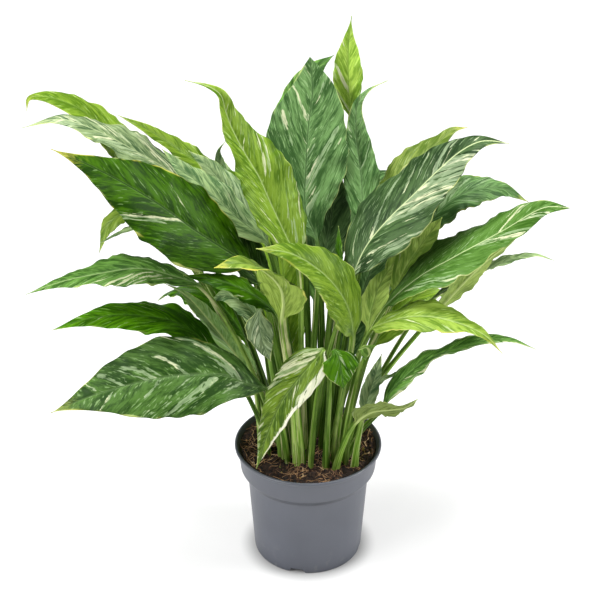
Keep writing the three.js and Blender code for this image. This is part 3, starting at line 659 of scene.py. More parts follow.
def even_steps(points, first, last, step):
    """Points and directions at equal steps along part of a curve, and its length."""
    fine = along_curve(points, np.linspace(first, last, FINE_STEPS))
    runs = np.concatenate([[0], np.cumsum(np.linalg.norm(np.diff(fine, axis=0), axis=1))])
    count = max(LEAST_ROWS, round(runs[-1] / step))
    wanted = np.linspace(0, runs[-1], count + 1)
    even = np.stack([np.interp(wanted, runs, fine[:, k]) for k in range(3)], axis=1)
    along = np.gradient(even, axis=0)
    return even, unit(along), runs[-1]


def unit(vectors):
    return vectors / np.linalg.norm(vectors, axis=-1, keepdims=True)


def ease(value, low, high):
    """0 at low, 1 at high and smooth between; low may be the larger one."""
    share = np.clip((value - low) / (high - low), 0, 1)
    return share * share * (3 - 2 * share)


def leaf_mesh(leaf, seed):
    """The leaf's points as rings (stalk, then blade) and what its finish needs at each point."""
    foot = np.array([*leaf["foot"], SOIL_TOP], float)
    collar = np.array(leaf["rib"][0], float)
    bend = (foot + collar) / 2
    bend[:2] -= (collar - foot)[:2] * STALK_BOW
    line = [foot - (0, 0, ROOT_DEPTH), foot, bend, *leaf["rib"]]
    collar_at = 3 / (len(leaf["rib"]) + 2)

    points, along, length = even_steps(line, collar_at, 1, ROW_STEP)
    u = np.linspace(0, 1, len(points))
    faces = leaf["face"][:1] * (3 - len(leaf["face"])) + leaf["face"]
    first, middle, last = (unit(np.array(towards, float)) for towards in faces)
    turn = u[:, None]
    face = np.where(turn < 0.5, first + (middle - first) * turn * 2,
                    middle + (last - middle) * (turn * 2 - 1))
    up = unit(face - along * (face * along).sum(1, keepdims=True))
    across = np.cross(along, up)

    stalk_points, stalk_along, stalk_length = even_steps(line, 0, collar_at, STALK_STEP)
    stalk_up = np.zeros_like(stalk_points)
    held = up[0]
    for k in range(len(stalk_points) - 1, -1, -1):
        held = unit(held - stalk_along[k] * held.dot(stalk_along[k]))
        stalk_up[k] = held
    stalk_across = np.cross(stalk_along, stalk_up)

    columns = int(np.clip(round(leaf["width"] / COLUMN_WIDTH) + 5, *COLUMNS))
    spread = (1 - np.cos(np.pi * np.linspace(0, 1, columns + 1))) / 2
    spread = 0.45 * spread + 0.55 * np.linspace(0, 1, columns + 1) ** 1.15
    s = np.concatenate([-spread[::-1], spread[1:]])[None, :]
    side = np.abs(s)

    def stalk_rings(width, thick):
        width, thick = np.reshape(width, (-1, 1)), np.reshape(thick, (-1, 1))
        curve = np.sqrt(np.clip(1 - s ** 2, 0, 1))
        channel = CHANNEL_DEPTH * np.exp(-(s / CHANNEL_WIDTH) ** 2)
        top = thick / 2 * (0.12 + 0.78 * curve - channel)
        bottom = -thick / 2 * (0.12 + 0.98 * curve)
        return s * width / 2, top, bottom

    belly, taper = leaf.get("belly", BELLY), leaf.get("taper", TAPER)
    swell = taper * belly / (1 - belly)
    shape = (u / belly) ** swell * ((1 - u) / (1 - belly)) ** taper
    stalk_wide = leaf.get("stalk", STALK_WIDTHS)
    half = np.maximum(leaf["width"] / 2 * shape, stalk_wide[1] / 2 * (1 - u * 6))
    half = np.maximum(half, TIP_HALF)[:, None]
    rise = leaf["wave"] * np.sin(np.pi * np.minimum(1, u * 1.15))[:, None]
    turns = (u * (WAVES + seed * WAVES_MORE) + seed)[:, None]
    lag = np.where(s < 0, 0, WAVE_LAG)

    def swing(rate, left, right, drift=0.0):
        """A wave along the blade, out of step on its two sides."""
        return np.sin(2 * np.pi * (turns * rate + np.where(s < 0, left, right) + drift))

    uneven = swing(2.1, 0.1, 0.7) * 0.6 + swing(5.3, 0.4, 0.9) * 0.4
    half = half * (1 + EDGE_UNEVEN * uneven * ease(u[:, None], 0.04, 0.2))
    reach = side * half
    run = (u * length)[:, None]
    veins = run - (leaf.get("sweep", SWEEP) * reach + 0.5 * reach ** 2 / (leaf["width"] / 2))
    soft_side = np.sqrt(side ** 2 + 0.0006)
    height = half * (leaf.get("fold", FOLD) * soft_side - EDGE_DROOP * s ** 2)
    height = height + np.sin(2 * np.pi * turns + lag) * rise * s ** 2
    ripple = swing(3.1, 0.2, 0.65, 0.12 * np.sin(turns * 9))
    frill = swing(6.7, 0.8, 0.3, 0.2 * np.sin(turns * 13))
    height = height + (ripple * RIPPLE + frill * FRILL) * rise * side ** 3
    pucker = swing(1.9, 0.3, 0.85, reach * -0.12 / (2 * np.pi))
    height = height + pucker * rise * PUCKER * ease(side, 0.05, 0.6)
    phase = 2 * np.pi * veins / VEIN_STEP + 1.6 * np.sin(veins / 7.3 + seed * 20) + (s < 0) * 1.7
    strong = 0.6 + 0.4 * np.sin(veins / 11.0 + seed * 30 + reach / 9)
    quilt = VEIN_RELIEF * np.sin(phase) * strong
    height = height + quilt * ease(reach, 1.0, 5.0) * ease(half - reach, 0.3, 4) * ease(half, 4, 9)
    groove = -GROOVE_DEPTH * np.exp(-(reach / GROOVE_WIDTH) ** 2) * ease(half, 2, 5)
    thin = EDGE_THICK / 2 + (BLADE_THICK - EDGE_THICK) / 2 * ease(half - reach, 0, 1.2)
    keel = (0.4 + 1.6 * (1 - u[:, None]) ** 1.4) * np.exp(-(reach / KEEL_WIDTH) ** 2)
    keel = keel * ease(1 - u[:, None], 0, 0.1)
    top, bottom = height + groove + thin, height - thin - keel
    wide, high, low = stalk_rings(stalk_wide[1], STALK_THICK[1])
    join = ease(run, 0, JOIN_LENGTH)
    blade = (s * half * join + wide * (1 - join), top * join + high * (1 - join),
             bottom * join + low * (1 - join))

    share = np.linspace(0, 1, len(stalk_points))
    sheath = 1 + 0.25 * ease(share, 0.5, 0.1) * (0.4 + seed)
    stalk = stalk_rings((stalk_wide[0] + (stalk_wide[1] - stalk_wide[0]) * share) * sheath,
                        STALK_THICK[0] + (STALK_THICK[1] - STALK_THICK[0]) * share)

    def rings(parts, points, across, up):
        wide, top, bottom = (part[:, :, None] for part in parts)
        middle = points[:, None, :] + across[:, None, :] * wide
        return np.concatenate([middle + up[:, None, :] * top,
                               (middle + up[:, None, :] * bottom)[:, ::-1]], axis=1)

    places = np.concatenate([rings(stalk, stalk_points, stalk_across, stalk_up)[:-1],
                             rings(blade, points, across, up)])

    flat = np.ones((len(stalk_points) - 1 + len(u), s.shape[1]))

    def three(*parts):
        """Three numbers at each point, along the top and then back along the underside."""
        return np.stack([np.concatenate([flat * part, (flat * part)[:, ::-1]], axis=1)
                         for part in parts], axis=-1)

    stalk_run = (share[:-1] - 1)[:, None] * stalk_length
    all_u = np.concatenate([share[:-1] - 1, u])[:, None]
    all_reach = np.concatenate([np.abs(stalk[0][:-1]), np.abs(blade[0])])
    all_half = np.concatenate([np.abs(stalk[0][:-1, -1:]), np.abs(blade[0][:, -1:])])
    all_veins = np.concatenate([stalk_run + 0 * s, veins])
    vein_share = all_veins / length
    pale = flat * 0
    for which, start, end, near, far, strength in leaf.get("pale", []):
        inside = (ease(vein_share, start - 0.03, start + 0.03)
                  * ease(vein_share, end + 0.04, end - 0.04)
                  * ease(side, near - 0.08, near + 0.04) * ease(side, far + 0.1, far - 0.1)
                  * (s * which >= 0) * (all_u > 0))
        pale = np.maximum(pale, inside * strength)
    marks = {
        "vein": three(all_veins, all_reach, seed * 40),
        "blade": three(s, all_u, all_half - all_reach),
        "marks": three(0, pale, leaf.get("gold", 0)),
        "look": three(leaf.get("streak", STREAK), leaf.get("cream", CREAM),
                      leaf.get("line", MIDLINE)),
        "stem": three(*leaf["stem"], leaf.get("silvery", 0)),
        # tone scales a leaf's tint: partly the leaf's own lightness, partly painted light and
        # shade, higher for leaves that lie in the shade of others and lower for well-lit ones.
        "tint": three(*(part * 2 ** leaf.get("tone", 0) for part in TINTS[leaf["tint"]][:3])),
    }
    marks["marks"][:, s.shape[1]:, 0] = 1
    return places, marks


def grow(name, slot, **leaf):
    """One leaf: its stalk and blade as a closed mesh, finished and set in the frame. In mm, foot
    is where the stalk leaves the soil, stalk its widths, and rib the midrib from collar to tip.
    face is where the blade looks at its start, middle and tip, or less where they look the same
    way. A pale sector is its side, start, end, inner and outer edge, and strength. stem is how
    bright and how striped the stalk is; the brightness is partly the stalk's own tone, from dark
    to grown bright green, and partly painted shade, low for the stalks at the back and in the
    heart; tint is the slot's own where none is given."""
    seed = len(leaves_grown) * SEED_STEP % 1
    leaves_grown.append(name)
    leaf.setdefault("stem", ((0.25 + seed) * 7 % 1, seed * 5 % 1))
    leaf.setdefault("tint", slot.removeprefix("leaf_"))
    places, marks = leaf_mesh(leaf, seed)
    rows, around = places.shape[:2]
    ring = np.arange(around)
    after = (ring + 1) % around
    base = (np.arange(rows - 1) * around)[:, None]
    quads = np.stack([base + ring, base + after, base + after + around, base + ring + around],
                     axis=-1).reshape(-1, 4)
    half = around // 2
    k = np.arange(half - 1)
    cap = np.stack([k, around - 1 - k, around - 2 - k, k + 1], axis=-1)
    tip = cap[:, ::-1] + (rows - 1) * around
    faces = np.concatenate([quads, cap, tip])
    data = bpy.data.meshes.new(name + "_leaf")
    data.from_pydata((places.reshape(-1, 3) * MM).tolist(), [], faces.tolist())
    for label, values in marks.items():
        made = data.attributes.new(label, "FLOAT_VECTOR", "POINT")
        made.data.foreach_set("vector", values.reshape(-1).astype(np.float32))
    data.shade_smooth()
    data.materials.append(LEAF_FINISHES[slot])
    piece = bpy.data.objects.new(name + "_leaf", data)
    bpy.context.collection.objects.link(piece)
    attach(piece, "root")
    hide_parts("leaf_" + name)


def dashes(leaf, along, reach, pitch, length, share, fill, ragged):
    """Strokes that follow the side veins, one at most in each cell of a brick pattern: share is
    the part of the cells that hold one, fill widens them, ragged frays their edges."""
    column = (along / pitch).whole()
    shift = leaf.node("ShaderNodeTexWhiteNoise", {"noise_dimensions": "1D"},
                      {"W": column + pitch * 3.1})
    place = reach / length + shift * 5
    row = place.whole()
    draw = leaf.node("ShaderNodeTexWhiteNoise", values={
        "Vector": leaf.at(column, row, pitch)}, output="Color")
    pick, wide, slide = (leaf.axis(draw, which) for which in range(3))
    across = (along / pitch - column - 0.5 + (slide - 0.5) * 0.36).size()
    run = place - row
    taper = run.between(0, 0.25) * (1 - run.between(0.25, 1))
    width = (0.05 + wide * wide * 0.28) * taper + fill * 0.5
    return (width + ragged - across).between(0, 0.12) * (share - pick).between(0, 0.04)


def leaf_finish(name, shadow, back, gloss):
    """A leaf's skin: strokes that follow the side veins, cream sectors, a midrib sunk on top and
    pale below, its groove on top darkened with painted shade where line is below zero and paled
    where it is above, a matte paler back and a yellow-green stalk streaked lengthwise, with
    painted shade along its sides."""
    leaf = Finish(name)
    run, reach, seed = leaf.attribute("vein")
    s, u, edge = leaf.attribute("blade")
    under, pale, gold = leaf.attribute("marks")
    streak, flecked, line = leaf.attribute("look")
    # The stem's first number takes the stalk from dark to bright green: partly the stalk's own
    # tone, partly painted shade on the stalks at the back and in the heart of the plant.
    stalk_tone_and_shade, striped, silvery = leaf.attribute("stem")
    green = leaf.node("ShaderNodeAttribute", {"attribute_name": "tint"}, output="Color")
    half = s.between(-0.001, 0.001)
    spot = seed + half * 13
    groups = leaf.noise(leaf.at(run / 26, reach / 16, spot + 3), detail=2)
    warp = leaf.noise(leaf.at(run / 24, reach / 16, spot + 17), detail=2)
    along = run + (warp - 0.5) * 16 + spot * 7
    hair = leaf.noise(leaf.at(along / 1.5, reach / 3, spot), detail=2, roughness=0.6)
    fibre = leaf.noise(leaf.at(along / 3.6, reach / 4.5, spot + 5), detail=2, roughness=0.6)
    band = leaf.noise(leaf.at(along / 7, reach / 22, spot + 9), detail=1)
    ragged = (fibre - 0.5) * 0.8 + (hair - 0.5) * 0.5

    depth = hair * 0.4 + fibre * 0.75 + band * 0.6 + groups * 0.8 - 0.775
    dark, bright, light = (leaf.combined("MULTIPLY", green, factors) for factors in (
        shadow, (1.62, 1.45, 1.5), (2.2, 1.9, 2.1)))
    light = leaf.mixed(0.28, light, paint(164, 184, 142))
    silver = leaf.mixed(0.55, bright, paint(156, 174, 138))
    mellow = leaf.noise(leaf.at(along / 9, reach / 40, spot + 21), detail=1)
    mellow = (mellow + ragged * 0.5 - silvery * 0.2).between(0.44, 0.6)
    cream = leaf.mixed(mellow, silver, paint(196, 199, 162))
    cream = leaf.mixed(pale.between(1.0, 1.2), cream, paint(232, 230, 208))
    flecks = dashes(leaf, along, reach, 3.4, 3.4, 0.22 + streak * groups, 0.04, ragged * 0.5)
    strokes = dashes(leaf, along, reach, 4.6, 6.5, streak * (groups * 2 - 0.6) * 0.7, 0.0,
                     ragged * 0.6)
    feathers = dashes(leaf, along, reach, 8.5, 13, flecked * 0.3 + pale * 1.2, pale, ragged * 0.8)
    creamy = feathers.most(dashes(
        leaf, along + 40, reach, 3.6, 6, flecked * 0.2 + pale * 0.4, 0.0, ragged * 0.6))
    solid = pale.between(1.0, 1.2).most(fibre.between(0.4, 0.58) * 0.4 + 0.6)
    matte = (0.26 + fibre.between(0.36, 0.62) * 0.4 - creamy * 0.2) * (1 - streak * 0.4)
    rib = (1 - (reach + u * 0.7).between(0.9, 1.9)) * u.between(-0.1, 0)
    # crease is the sunk midrib on top: where line is below zero it is darkened with painted shade,
    # where line is above zero it is paled.
    crease = (1 - reach.between(0.1, 0.7)) * (1 - under) * u.between(0, 0.1)
    rim = (1 - edge.between(0.2, 0.9)) * u.between(0.03, 0.1) * groups.between(0.46, 0.62)
    tip = (u + (fibre - 0.5) * 0.2).between(0.86, 1.0)
    fringe = (1 - edge.between(0.2, 1.5)) * warp.between(0.5, 0.64) * u.between(0, 0.1)
    blade = leaf.layered(
        dark, (depth.between(0.3, 0.7), bright), (flecks * (0.45 + streak * 0.5), light),
        (strokes * 0.85, light), (creamy * solid * 0.9, cream), (under * matte, back),
        (rib * under * 0.8, paint(186, 202, 128)), (rib * (1 - under) * 0.25, light),
        (crease * (0 - line).most(0.0), dark), (crease * line.most(0.0), paint(184, 196, 146)),
        (rim * 0.5, paint(196, 204, 126)),
        (gold * tip.most(fringe) * 0.85, paint(186, 180, 76)))

    width = reach * (half * 2 - 1)
    lengthwise = leaf.noise(leaf.at(width * 1.15, run / 40, seed), detail=3).between(0.36, 0.62)
    stripe = leaf.noise(leaf.at(width * 0.8, run / 90, seed + 4), detail=1)
    blotch = leaf.noise(leaf.at(width * 0.3, run / 16, seed + 6), detail=2)
    # The stalk's colour darkens towards its two sides: painted shade.
    stalk = leaf.layered(
        leaf.mixed(lengthwise, paint(38, 70, 12), paint(82, 120, 38)),
        (stalk_tone_and_shade, leaf.mixed(lengthwise, paint(110, 154, 42), paint(174, 204, 102))),
        ((stripe - 0.67 + striped * 0.14).between(0, 0.04) * 0.85, paint(214, 214, 156)),
        (blotch.between(0.5, 0.64) * 0.4, paint(66, 100, 30)),
        ((1 - u.between(-1.0, -0.8)) * 0.4, paint(150, 174, 78)),
        ((1 - edge.between(0.1, 1.1)) * 0.45, paint(34, 58, 14)))
    colour = leaf.mixed(u.between(-0.04, 0.05), stalk, blade)

    roughness = gloss + (fibre - 0.5) * 0.2 + under * 0.16
    relief = hair * 0.35 + fibre * 0.45 + lengthwise * 0.12
    return leaf.finished(colour, roughness, relief, 0.0003, {"Specular IOR Level": 0.08})


LEAF_FINISHES = {slot: leaf_finish(*values) for slot, values in {
    "leaf_deep": ("deep_green_leaf", (0.4, 0.48, 0.38), paint(128, 156, 84), 0.44),
    "leaf_fresh": ("young_green_leaf", (0.6, 0.7, 0.4), paint(158, 182, 84), 0.4),
    "leaf_silver": ("silver_marbled_leaf", (0.36, 0.48, 0.42), paint(156, 178, 122), 0.44),
    "leaf_olive": ("olive_backed_leaf", (0.58, 0.66, 0.5), paint(146, 168, 86), 0.46),
}.items()}

grow("centre_tall", "leaf_deep", tint="blue", foot=(3, 4), width=64, fold=0.16, wave=2.2,
     belly=0.5, taper=1,
     rib=[(7, 18, 277), (-2, 24, 301), (-2, 38, 334), (0, 50, 363), (3, 59, 388), (1, 66, 413)],
     face=[(0, -1, 0.35), (0, -1, 0.3)],
     pale=[(1, 0.29, 0.37, 0, 0.75, 0.9), (1, 0.14, 0.21, 0, 0.4, 0.9),
           (1, 0.45, 0.5, 0, 0.25, 0.8), (-1, 0.63, 0.68, 0, 1, 0.75),
           (-1, 0.37, 0.42, 0.35, 0.8, 0.9), (1, 0.2, 0.27, 0.75, 1, 0.5),
           (1, 0.74, 0.8, 0.1, 0.6, 0.6)], streak=0.6, cream=0.35, line=-0.8, stem=(0.25, 0.2),
     tone=0.16)
grow("top_young", "leaf_fresh", tint="lime", foot=(11, 13), width=24, fold=0.4, wave=1, belly=0.45,
     taper=1.9, rib=[(34, 72, 352), (32, 76, 372), (31, 80, 396), (31, 83, 418), (33, 85, 439)],
     face=[(-0.6, -0.8, 0.1), (-0.3, -1, 0.1), (0.3, -1, 0.2)], pale=[(-1, 0.1, 0.4, 0, 1, 0.6)],
     streak=0.3, stem=(0.3, 0), tone=0.35)
grow("centre_right", "leaf_deep", tint="blue", foot=(14, 4), width=28, fold=0.4, wave=2,
     belly=0.28, taper=1.9,
     rib=[(41, 30, 287), (42, 40, 307), (40, 50, 329), (37, 58, 355), (38, 62, 375), (46, 64, 386),
          (61, 67, 393)], face=[(0.1, -1, 0.3), (0, -0.7, 0.7)], pale=[(1, 0.2, 0.4, 0, 1, 0.3)],
     streak=0.6, cream=0.4, line=-0.4, silvery=0.5, stem=(0.15, 0), tone=0.36)
grow("centre_left", "leaf_fresh", foot=(-3, -8), width=54, fold=0.5, wave=2, belly=0.32, taper=1.8,
     rib=[(-9, -8, 275), (-19, -4, 299), (-29, 0, 321), (-38, 4, 342), (-48, 8, 359),
          (-57, 11, 377), (-62, 13, 391), (-66, 14, 405), (-76, 14, 412), (-92, 13, 417)],
     face=[(0.75, -0.6, 0.25), (0.75, -0.6, 0.3), (0.4, -0.3, 0.9)],
     pale=[(1, -0.1, 0.12, 0.3, 1, 0.5), (1, 0.3, 0.45, 0.2, 1, 0.4)], streak=0.5, cream=0.45,
     line=0.4, stem=(0.7, 0.9), tone=-0.48)
grow("behind_tall", "leaf_deep", tint="forest", foot=(2, 21), width=48, wave=2,
     rib=[(-4, 62, 288), (-7, 84, 330), (-3, 98, 365), (6, 104, 386), (20, 105, 398)],
     face=[(0, -0.8, 0.6), (0.2, -0.4, 0.9)], cream=0.2, stem=(0.1, 0), tone=0.4)
grow("centre_inner", "leaf_deep", foot=(10, -4), width=18, fold=0.3, wave=1,
     rib=[(27, 8, 246), (25, 9, 270), (23, 11, 296)], face=[(-0.9, -0.3, 0.2)], streak=0.2,
     cream=0.1, stem=(0.1, 0), tone=0.4)


# Right leaves: they lean out over the pot's right side, the upper ones broad and streaked, the
# lower ones narrower, with two or three turned over so that their matte backs show.

grow("right_striped", "leaf_deep", tint="blue", foot=(1, -20), width=60, wave=2.2, belly=0.36,
     taper=1.4,
     rib=[(34, -6, 260), (44, 2, 282), (61, 8, 303), (79, 12, 321), (99, 17, 341), (117, 21, 356),
          (132, 24, 362), (153, 26, 359)], face=[(-0.47, -0.5, 0.72), (-0.1, -0.3, 0.9)],
     pale=[(1, 0.27, 0.7, 0, 1, 0.88), (1, -0.08, 0.06, 0, 1, 0.6), (-1, 0.17, 0.22, 0, 1, 0.5),
           (-1, 0.35, 0.4, 0, 1, 0.5), (-1, 0.44, 0.48, 0, 0.9, 0.5), (-1, 0.58, 0.66, 0, 1, 0.7),
           (1, 0.62, 0.72, 0, 1, 1.05)], streak=0.5, cream=0.35, line=0.9, silvery=0.5,
     stem=(0.3, 0.6), tone=-1.15)
grow("right_upper", "leaf_fresh", tint="olive", foot=(19, 13), width=30, wave=1.5,
     rib=[(53, 38, 294), (67, 46, 316), (84, 53, 332), (101, 58, 344), (113, 61, 354),
          (124, 63, 355)], face=[(-0.4, -0.4, 0.8), (-0.3, -0.4, 0.9), (0, -0.2, 1)], streak=0.3,
     cream=0.2, gold=0.7, stem=(0.2, 0), tone=-0.45)
grow("right_dark", "leaf_deep", tint="blue", foot=(30, 13), width=32, wave=2,
     rib=[(88, 34, 273), (107, 38, 300), (129, 42, 311), (152, 44, 311), (173, 45, 299)],
     face=[(-0.4, -0.4, 0.8), (-0.15, -0.4, 0.9), (0.3, -0.3, 0.9)],
     pale=[(-1, 0.2, 0.34, 0, 0.8, 0.8), (-1, 0.46, 0.52, 0.2, 1, 0.6),
           (1, 0.3, 0.36, 0, 0.9, 0.5)], streak=0.35, cream=0.2, gold=0.4, silvery=0.8, tone=0.25)
grow("right_long", "leaf_fresh", tint="forest", foot=(17, -9), width=54, fold=0.22, wave=2.4,
     belly=0.46, taper=1,
     rib=[(59, -8, 233), (86, -10, 263), (108, -12, 279), (147, -14, 305), (178, -14, 325),
          (197, -13, 324)], face=[(-0.5, -0.12, 0.85), (-0.2, -0.1, 1)],
     pale=[(1, 0.5, 0.62, 0, 1, 0.9), (1, 0.08, 0.15, 0.3, 1, 0.7), (1, 0.74, 0.82, 0, 1, 0.7),
           (-1, 0.62, 0.68, 0, 0.9, 0.8), (-1, 0.35, 0.38, 0.1, 0.5, 0.7)], streak=0.6, line=0.8,
     silvery=0.4, stem=(0.45, 0.4), tone=-0.18)
grow("right_under", "leaf_olive", foot=(30, -4), width=30, wave=1.5,
     rib=[(98, 4, 219), (113, 5, 239), (135, 7, 264), (153, 9, 280), (169, 11, 294)],
     face=[(-0.3, 0.75, 0.6), (-0.3, 0.6, 0.8)], cream=0.5, stem=(0.6, 0.5), tone=0.06)
grow("right_thin", "leaf_deep", tint="silver", foot=(35, 5), width=22, fold=0.3, wave=1.2,
     rib=[(98, 22, 223), (136, 28, 245), (164, 30, 257), (180, 31, 259), (195, 31, 254)],
     face=[(-0.3, 0.2, 0.9), (-0.2, 0.2, 0.9), (0, 0.1, 1)], streak=0.3, cream=0.2, tone=0.4)
grow("right_bright", "leaf_fresh", tint="lime", foot=(25, -11), width=40, fold=0.25, wave=1.6,
     belly=0.35, taper=1.5,
     rib=[(48, -24, 222), (63, -30, 235), (85, -38, 244), (110, -46, 244), (133, -54, 237),
          (147, -60, 224)], face=[(0, -0.1, 1), (0.4, -0.1, 0.9)], line=0.3, gold=0.7,
     stem=(0.6, 0.4), tone=-0.46)
grow("right_low_twisted", "leaf_deep", tint="forest", foot=(30, -18), width=27, fold=0.3, wave=1.8,
     rib=[(58, -30, 154), (64, -31, 169), (75, -33, 185), (93, -36, 204), (117, -40, 218),
          (140, -43, 226), (156, -46, 227), (174, -49, 221)],
     face=[(-0.9, -0.3, 0.3), (-0.35, 0.1, 0.9), (0, 0.1, 1)], pale=[(0, -1, 1, 0.8, 1.2, 0.8)],
     streak=0.45, stem=(0.45, 0.3), tone=0.7)
grow("right_low_pale", "leaf_olive", foot=(22, -31), width=38, fold=0.25, wave=1.2,
     rib=[(37, -38, 146), (49, -42, 159), (64, -46, 164), (75, -49, 168), (85, -52, 178)],
     face=[(-0.2, 0.8, 0.55), (-0.4, 0.6, 0.6)], streak=0.5, cream=0.4, stem=(0.7, 0.6), tone=-0.9)
grow("right_olive", "leaf_olive", foot=(20, 0), width=22, fold=0.3, wave=1,
     rib=[(47, 2, 207), (50, 4, 226), (56, 7, 246), (67, 10, 264)],
     face=[(0.2, -0.9, 0.3), (0, -0.8, 0.5)], streak=0.2, cream=0.1, stem=(0.3, 0.5), tone=0.9)
grow("right_inner", "leaf_olive", foot=(27, 5), width=34, fold=0.25, wave=1.4,
     rib=[(68, 14, 231), (75, 18, 251), (90, 22, 276), (104, 25, 296)],
     face=[(-0.3, -0.8, 0.4), (-0.2, -0.8, 0.5)], streak=0.45, stem=(0.4, 0.6), tone=1.1)
grow("right_silver", "leaf_silver", foot=(35, -10), width=16, fold=0.3, wave=0.8,
     rib=[(48, -12, 150), (54, -14, 166), (65, -17, 176), (78, -22, 184)], face=[(-0.3, 0.2, 0.9)],
     streak=0.5, cream=0.4, tone=0.6)


# Front leaves: short ones over the front of the pot. One arches to the left, one is bent over
# like a hood with its back to the eye, one droops almost to the soil and two are barely open.

grow("front_arched", "leaf_fresh", foot=(21, -22), stalk=(8, 6), width=44, fold=0.3, wave=1.8,
     rib=[(34, -34, 222), (31, -42, 250), (22, -48, 273), (7, -54, 294), (-14, -58, 310),
          (-39, -60, 315)], face=[(0.5, -0.6, 0.5), (0.5, -0.5, 0.7), (0.2, -0.3, 0.9)],
     streak=0.3, cream=0.12, line=0.2, gold=0.3, stem=(0.8, 0.7), tone=-0.69)
grow("front_hooded", "leaf_fresh", tint="lime", foot=(-7, -26), stalk=(9.4, 7.6), width=42,
     fold=0.3, wave=1.8,
     rib=[(-20, -38, 241), (-19, -42, 259), (-22, -47, 276), (-35, -54, 294), (-51, -60, 303),
          (-70, -64, 301)], face=[(0.3, 0.9, 0.1), (0.5, 0.6, 0.7), (0.2, -0.3, 0.9)], streak=0.3,
     cream=0.2, gold=0.9, stem=(0.95, 1), tone=-0.8)
grow("front_drooping", "leaf_deep", tint="fresh", foot=(2, -29), stalk=(6.8, 4.6), width=32,
     fold=0.3, wave=1.4, belly=0.25,
     rib=[(12, -37, 213), (3, -46, 208), (-8, -53, 197), (-19, -58, 183), (-30, -61, 157),
          (-41, -58, 116)], face=[(0, -0.6, 0.8), (-0.3, -0.8, 0.5), (-0.4, -0.9, 0.2)],
     pale=[(1, -0.1, 0.2, 0.1, 0.95, 0.9), (1, 0.5, 0.9, 0.6, 1.2, 0.7),
           (-1, 0.1, 0.9, 0.8, 1.2, 1.2), (-1, -0.2, 0.2, 0.6, 1.2, 1.15)], streak=0.5,
     stem=(0.6, 0.4), tone=-0.75)
grow("front_small", "leaf_deep", foot=(14, -30), width=30, wave=1,
     rib=[(19, -40, 214), (23, -46, 213), (25, -51, 204), (27, -54, 188)],
     face=[(0.3, -0.6, 0.7), (0.3, -0.8, 0.5), (0.4, -0.9, 0.1)],
     pale=[(-1, 0.1, 0.3, 0, 1, 0.5), (1, 0.35, 0.6, 0.2, 1, 0.5)], streak=0.5, cream=0.4,
     stem=(0.35, 0.2), tone=0.1)
grow("front_curl", "leaf_deep", foot=(29, -26), width=13, fold=0.6, wave=0.5,
     rib=[(43, -30, 200), (47, -35, 210), (44, -39, 217), (38, -39, 214)],
     face=[(-0.6, -0.6, 0.4), (-0.4, 0.2, 0.9), (0.2, 0.6, 0.8)], streak=0.2, cream=0.1,
     stem=(0.7, 0.5), tone=0.9)


# Left leaves: the plant's fullest side. Long blades stand out one above the other, with short
# silver ones between them, and the lowest and broadest hangs level with the pot's lip.

grow("left_top", "leaf_fresh", foot=(-22, 13), width=50, fold=0.22, wave=1.8, taper=1.2,
     rib=[(-108, 50, 304), (-131, 47, 330), (-154, 43, 360), (-176, 37, 384), (-199, 32, 395),
          (-211, 29, 395), (-213, 27, 386)],
     face=[(0.5, -0.15, 0.85), (0.4, -0.15, 0.9), (-0.3, -0.1, 0.9)], streak=0.3, cream=0.25,
     gold=0.3, tone=-0.39)
grow("left_silver", "leaf_silver", foot=(-15, 4), width=46, wave=2.2, belly=0.38, taper=1.6,
     rib=[(-72, 18, 310), (-103, 15, 339), (-134, 11, 362), (-159, 7, 379), (-185, 3, 390),
          (-213, -1, 385)], face=[(0.5, -0.1, 0.85), (0.4, -0.15, 0.9), (0, -0.1, 1)],
     pale=[(-1, 0.1, 0.6, 0.1, 0.8, 0.6), (1, 0.2, 0.3, 0, 0.9, 0.8), (1, 0.45, 0.6, 0.2, 1, 0.7),
           (-1, 0.7, 0.85, 0, 1, 0.8), (1, 0.72, 0.8, 0, 0.7, 0.8)], streak=0.7, cream=0.45,
     line=0.5, silvery=0.3, stem=(0.3, 0.2), tone=-0.4)
grow("left_big", "leaf_deep", foot=(-12, -12), width=62, fold=0.15, wave=2.4, taper=1.6,
     rib=[(-42, -16, 273), (-60, -21, 290), (-86, -27, 313), (-113, -33, 339), (-146, -38, 364),
          (-170, -41, 379), (-187, -43, 388)], face=[(0.4, -0.7, 0.55), (0.3, -0.5, 0.8)],
     pale=[(-1, 0.36, 0.42, 0, 1, 0.9)], streak=0.2, cream=0.1, line=-0.9, gold=0.7,
     stem=(0.35, 0.2), tone=-0.6)
grow("left_inner", "leaf_silver", foot=(-7, -2), width=34, wave=1.6,
     rib=[(-31, 3, 283), (-52, 6, 303), (-73, 8, 324), (-91, 9, 341), (-111, 11, 362)],
     face=[(0.5, -0.4, 0.75), (0.4, -0.4, 0.8)],
     pale=[(1, 0.15, 0.3, 0, 1, 0.6), (-1, 0.4, 0.55, 0, 1, 0.6)], streak=0.8, cream=0.5,
     silvery=0.6, stem=(0.2, 0.4), tone=0.7)
grow("left_twisted", "leaf_fresh", foot=(-9, 22), width=24, fold=0.3, wave=1.6,
     rib=[(-36, 50, 291), (-51, 49, 308), (-72, 47, 323), (-99, 43, 344), (-121, 39, 363),
          (-145, 36, 378)], face=[(0.5, -0.3, 0.8), (0.2, -0.3, 0.9), (0.3, -0.5, 0.8)],
     stem=(0.1, 0), tone=-0.61)
grow("left_blue", "leaf_silver", foot=(-5, 9), width=34, wave=1.4,
     rib=[(-32, 25, 271), (-45, 27, 296), (-64, 28, 321), (-79, 29, 340), (-92, 30, 351)],
     face=[(0.4, -0.5, 0.75)], pale=[(1, 0.3, 0.5, 0, 1, 0.7)], streak=0.5, silvery=0.8,
     stem=(0.05, 0), tone=0.05)
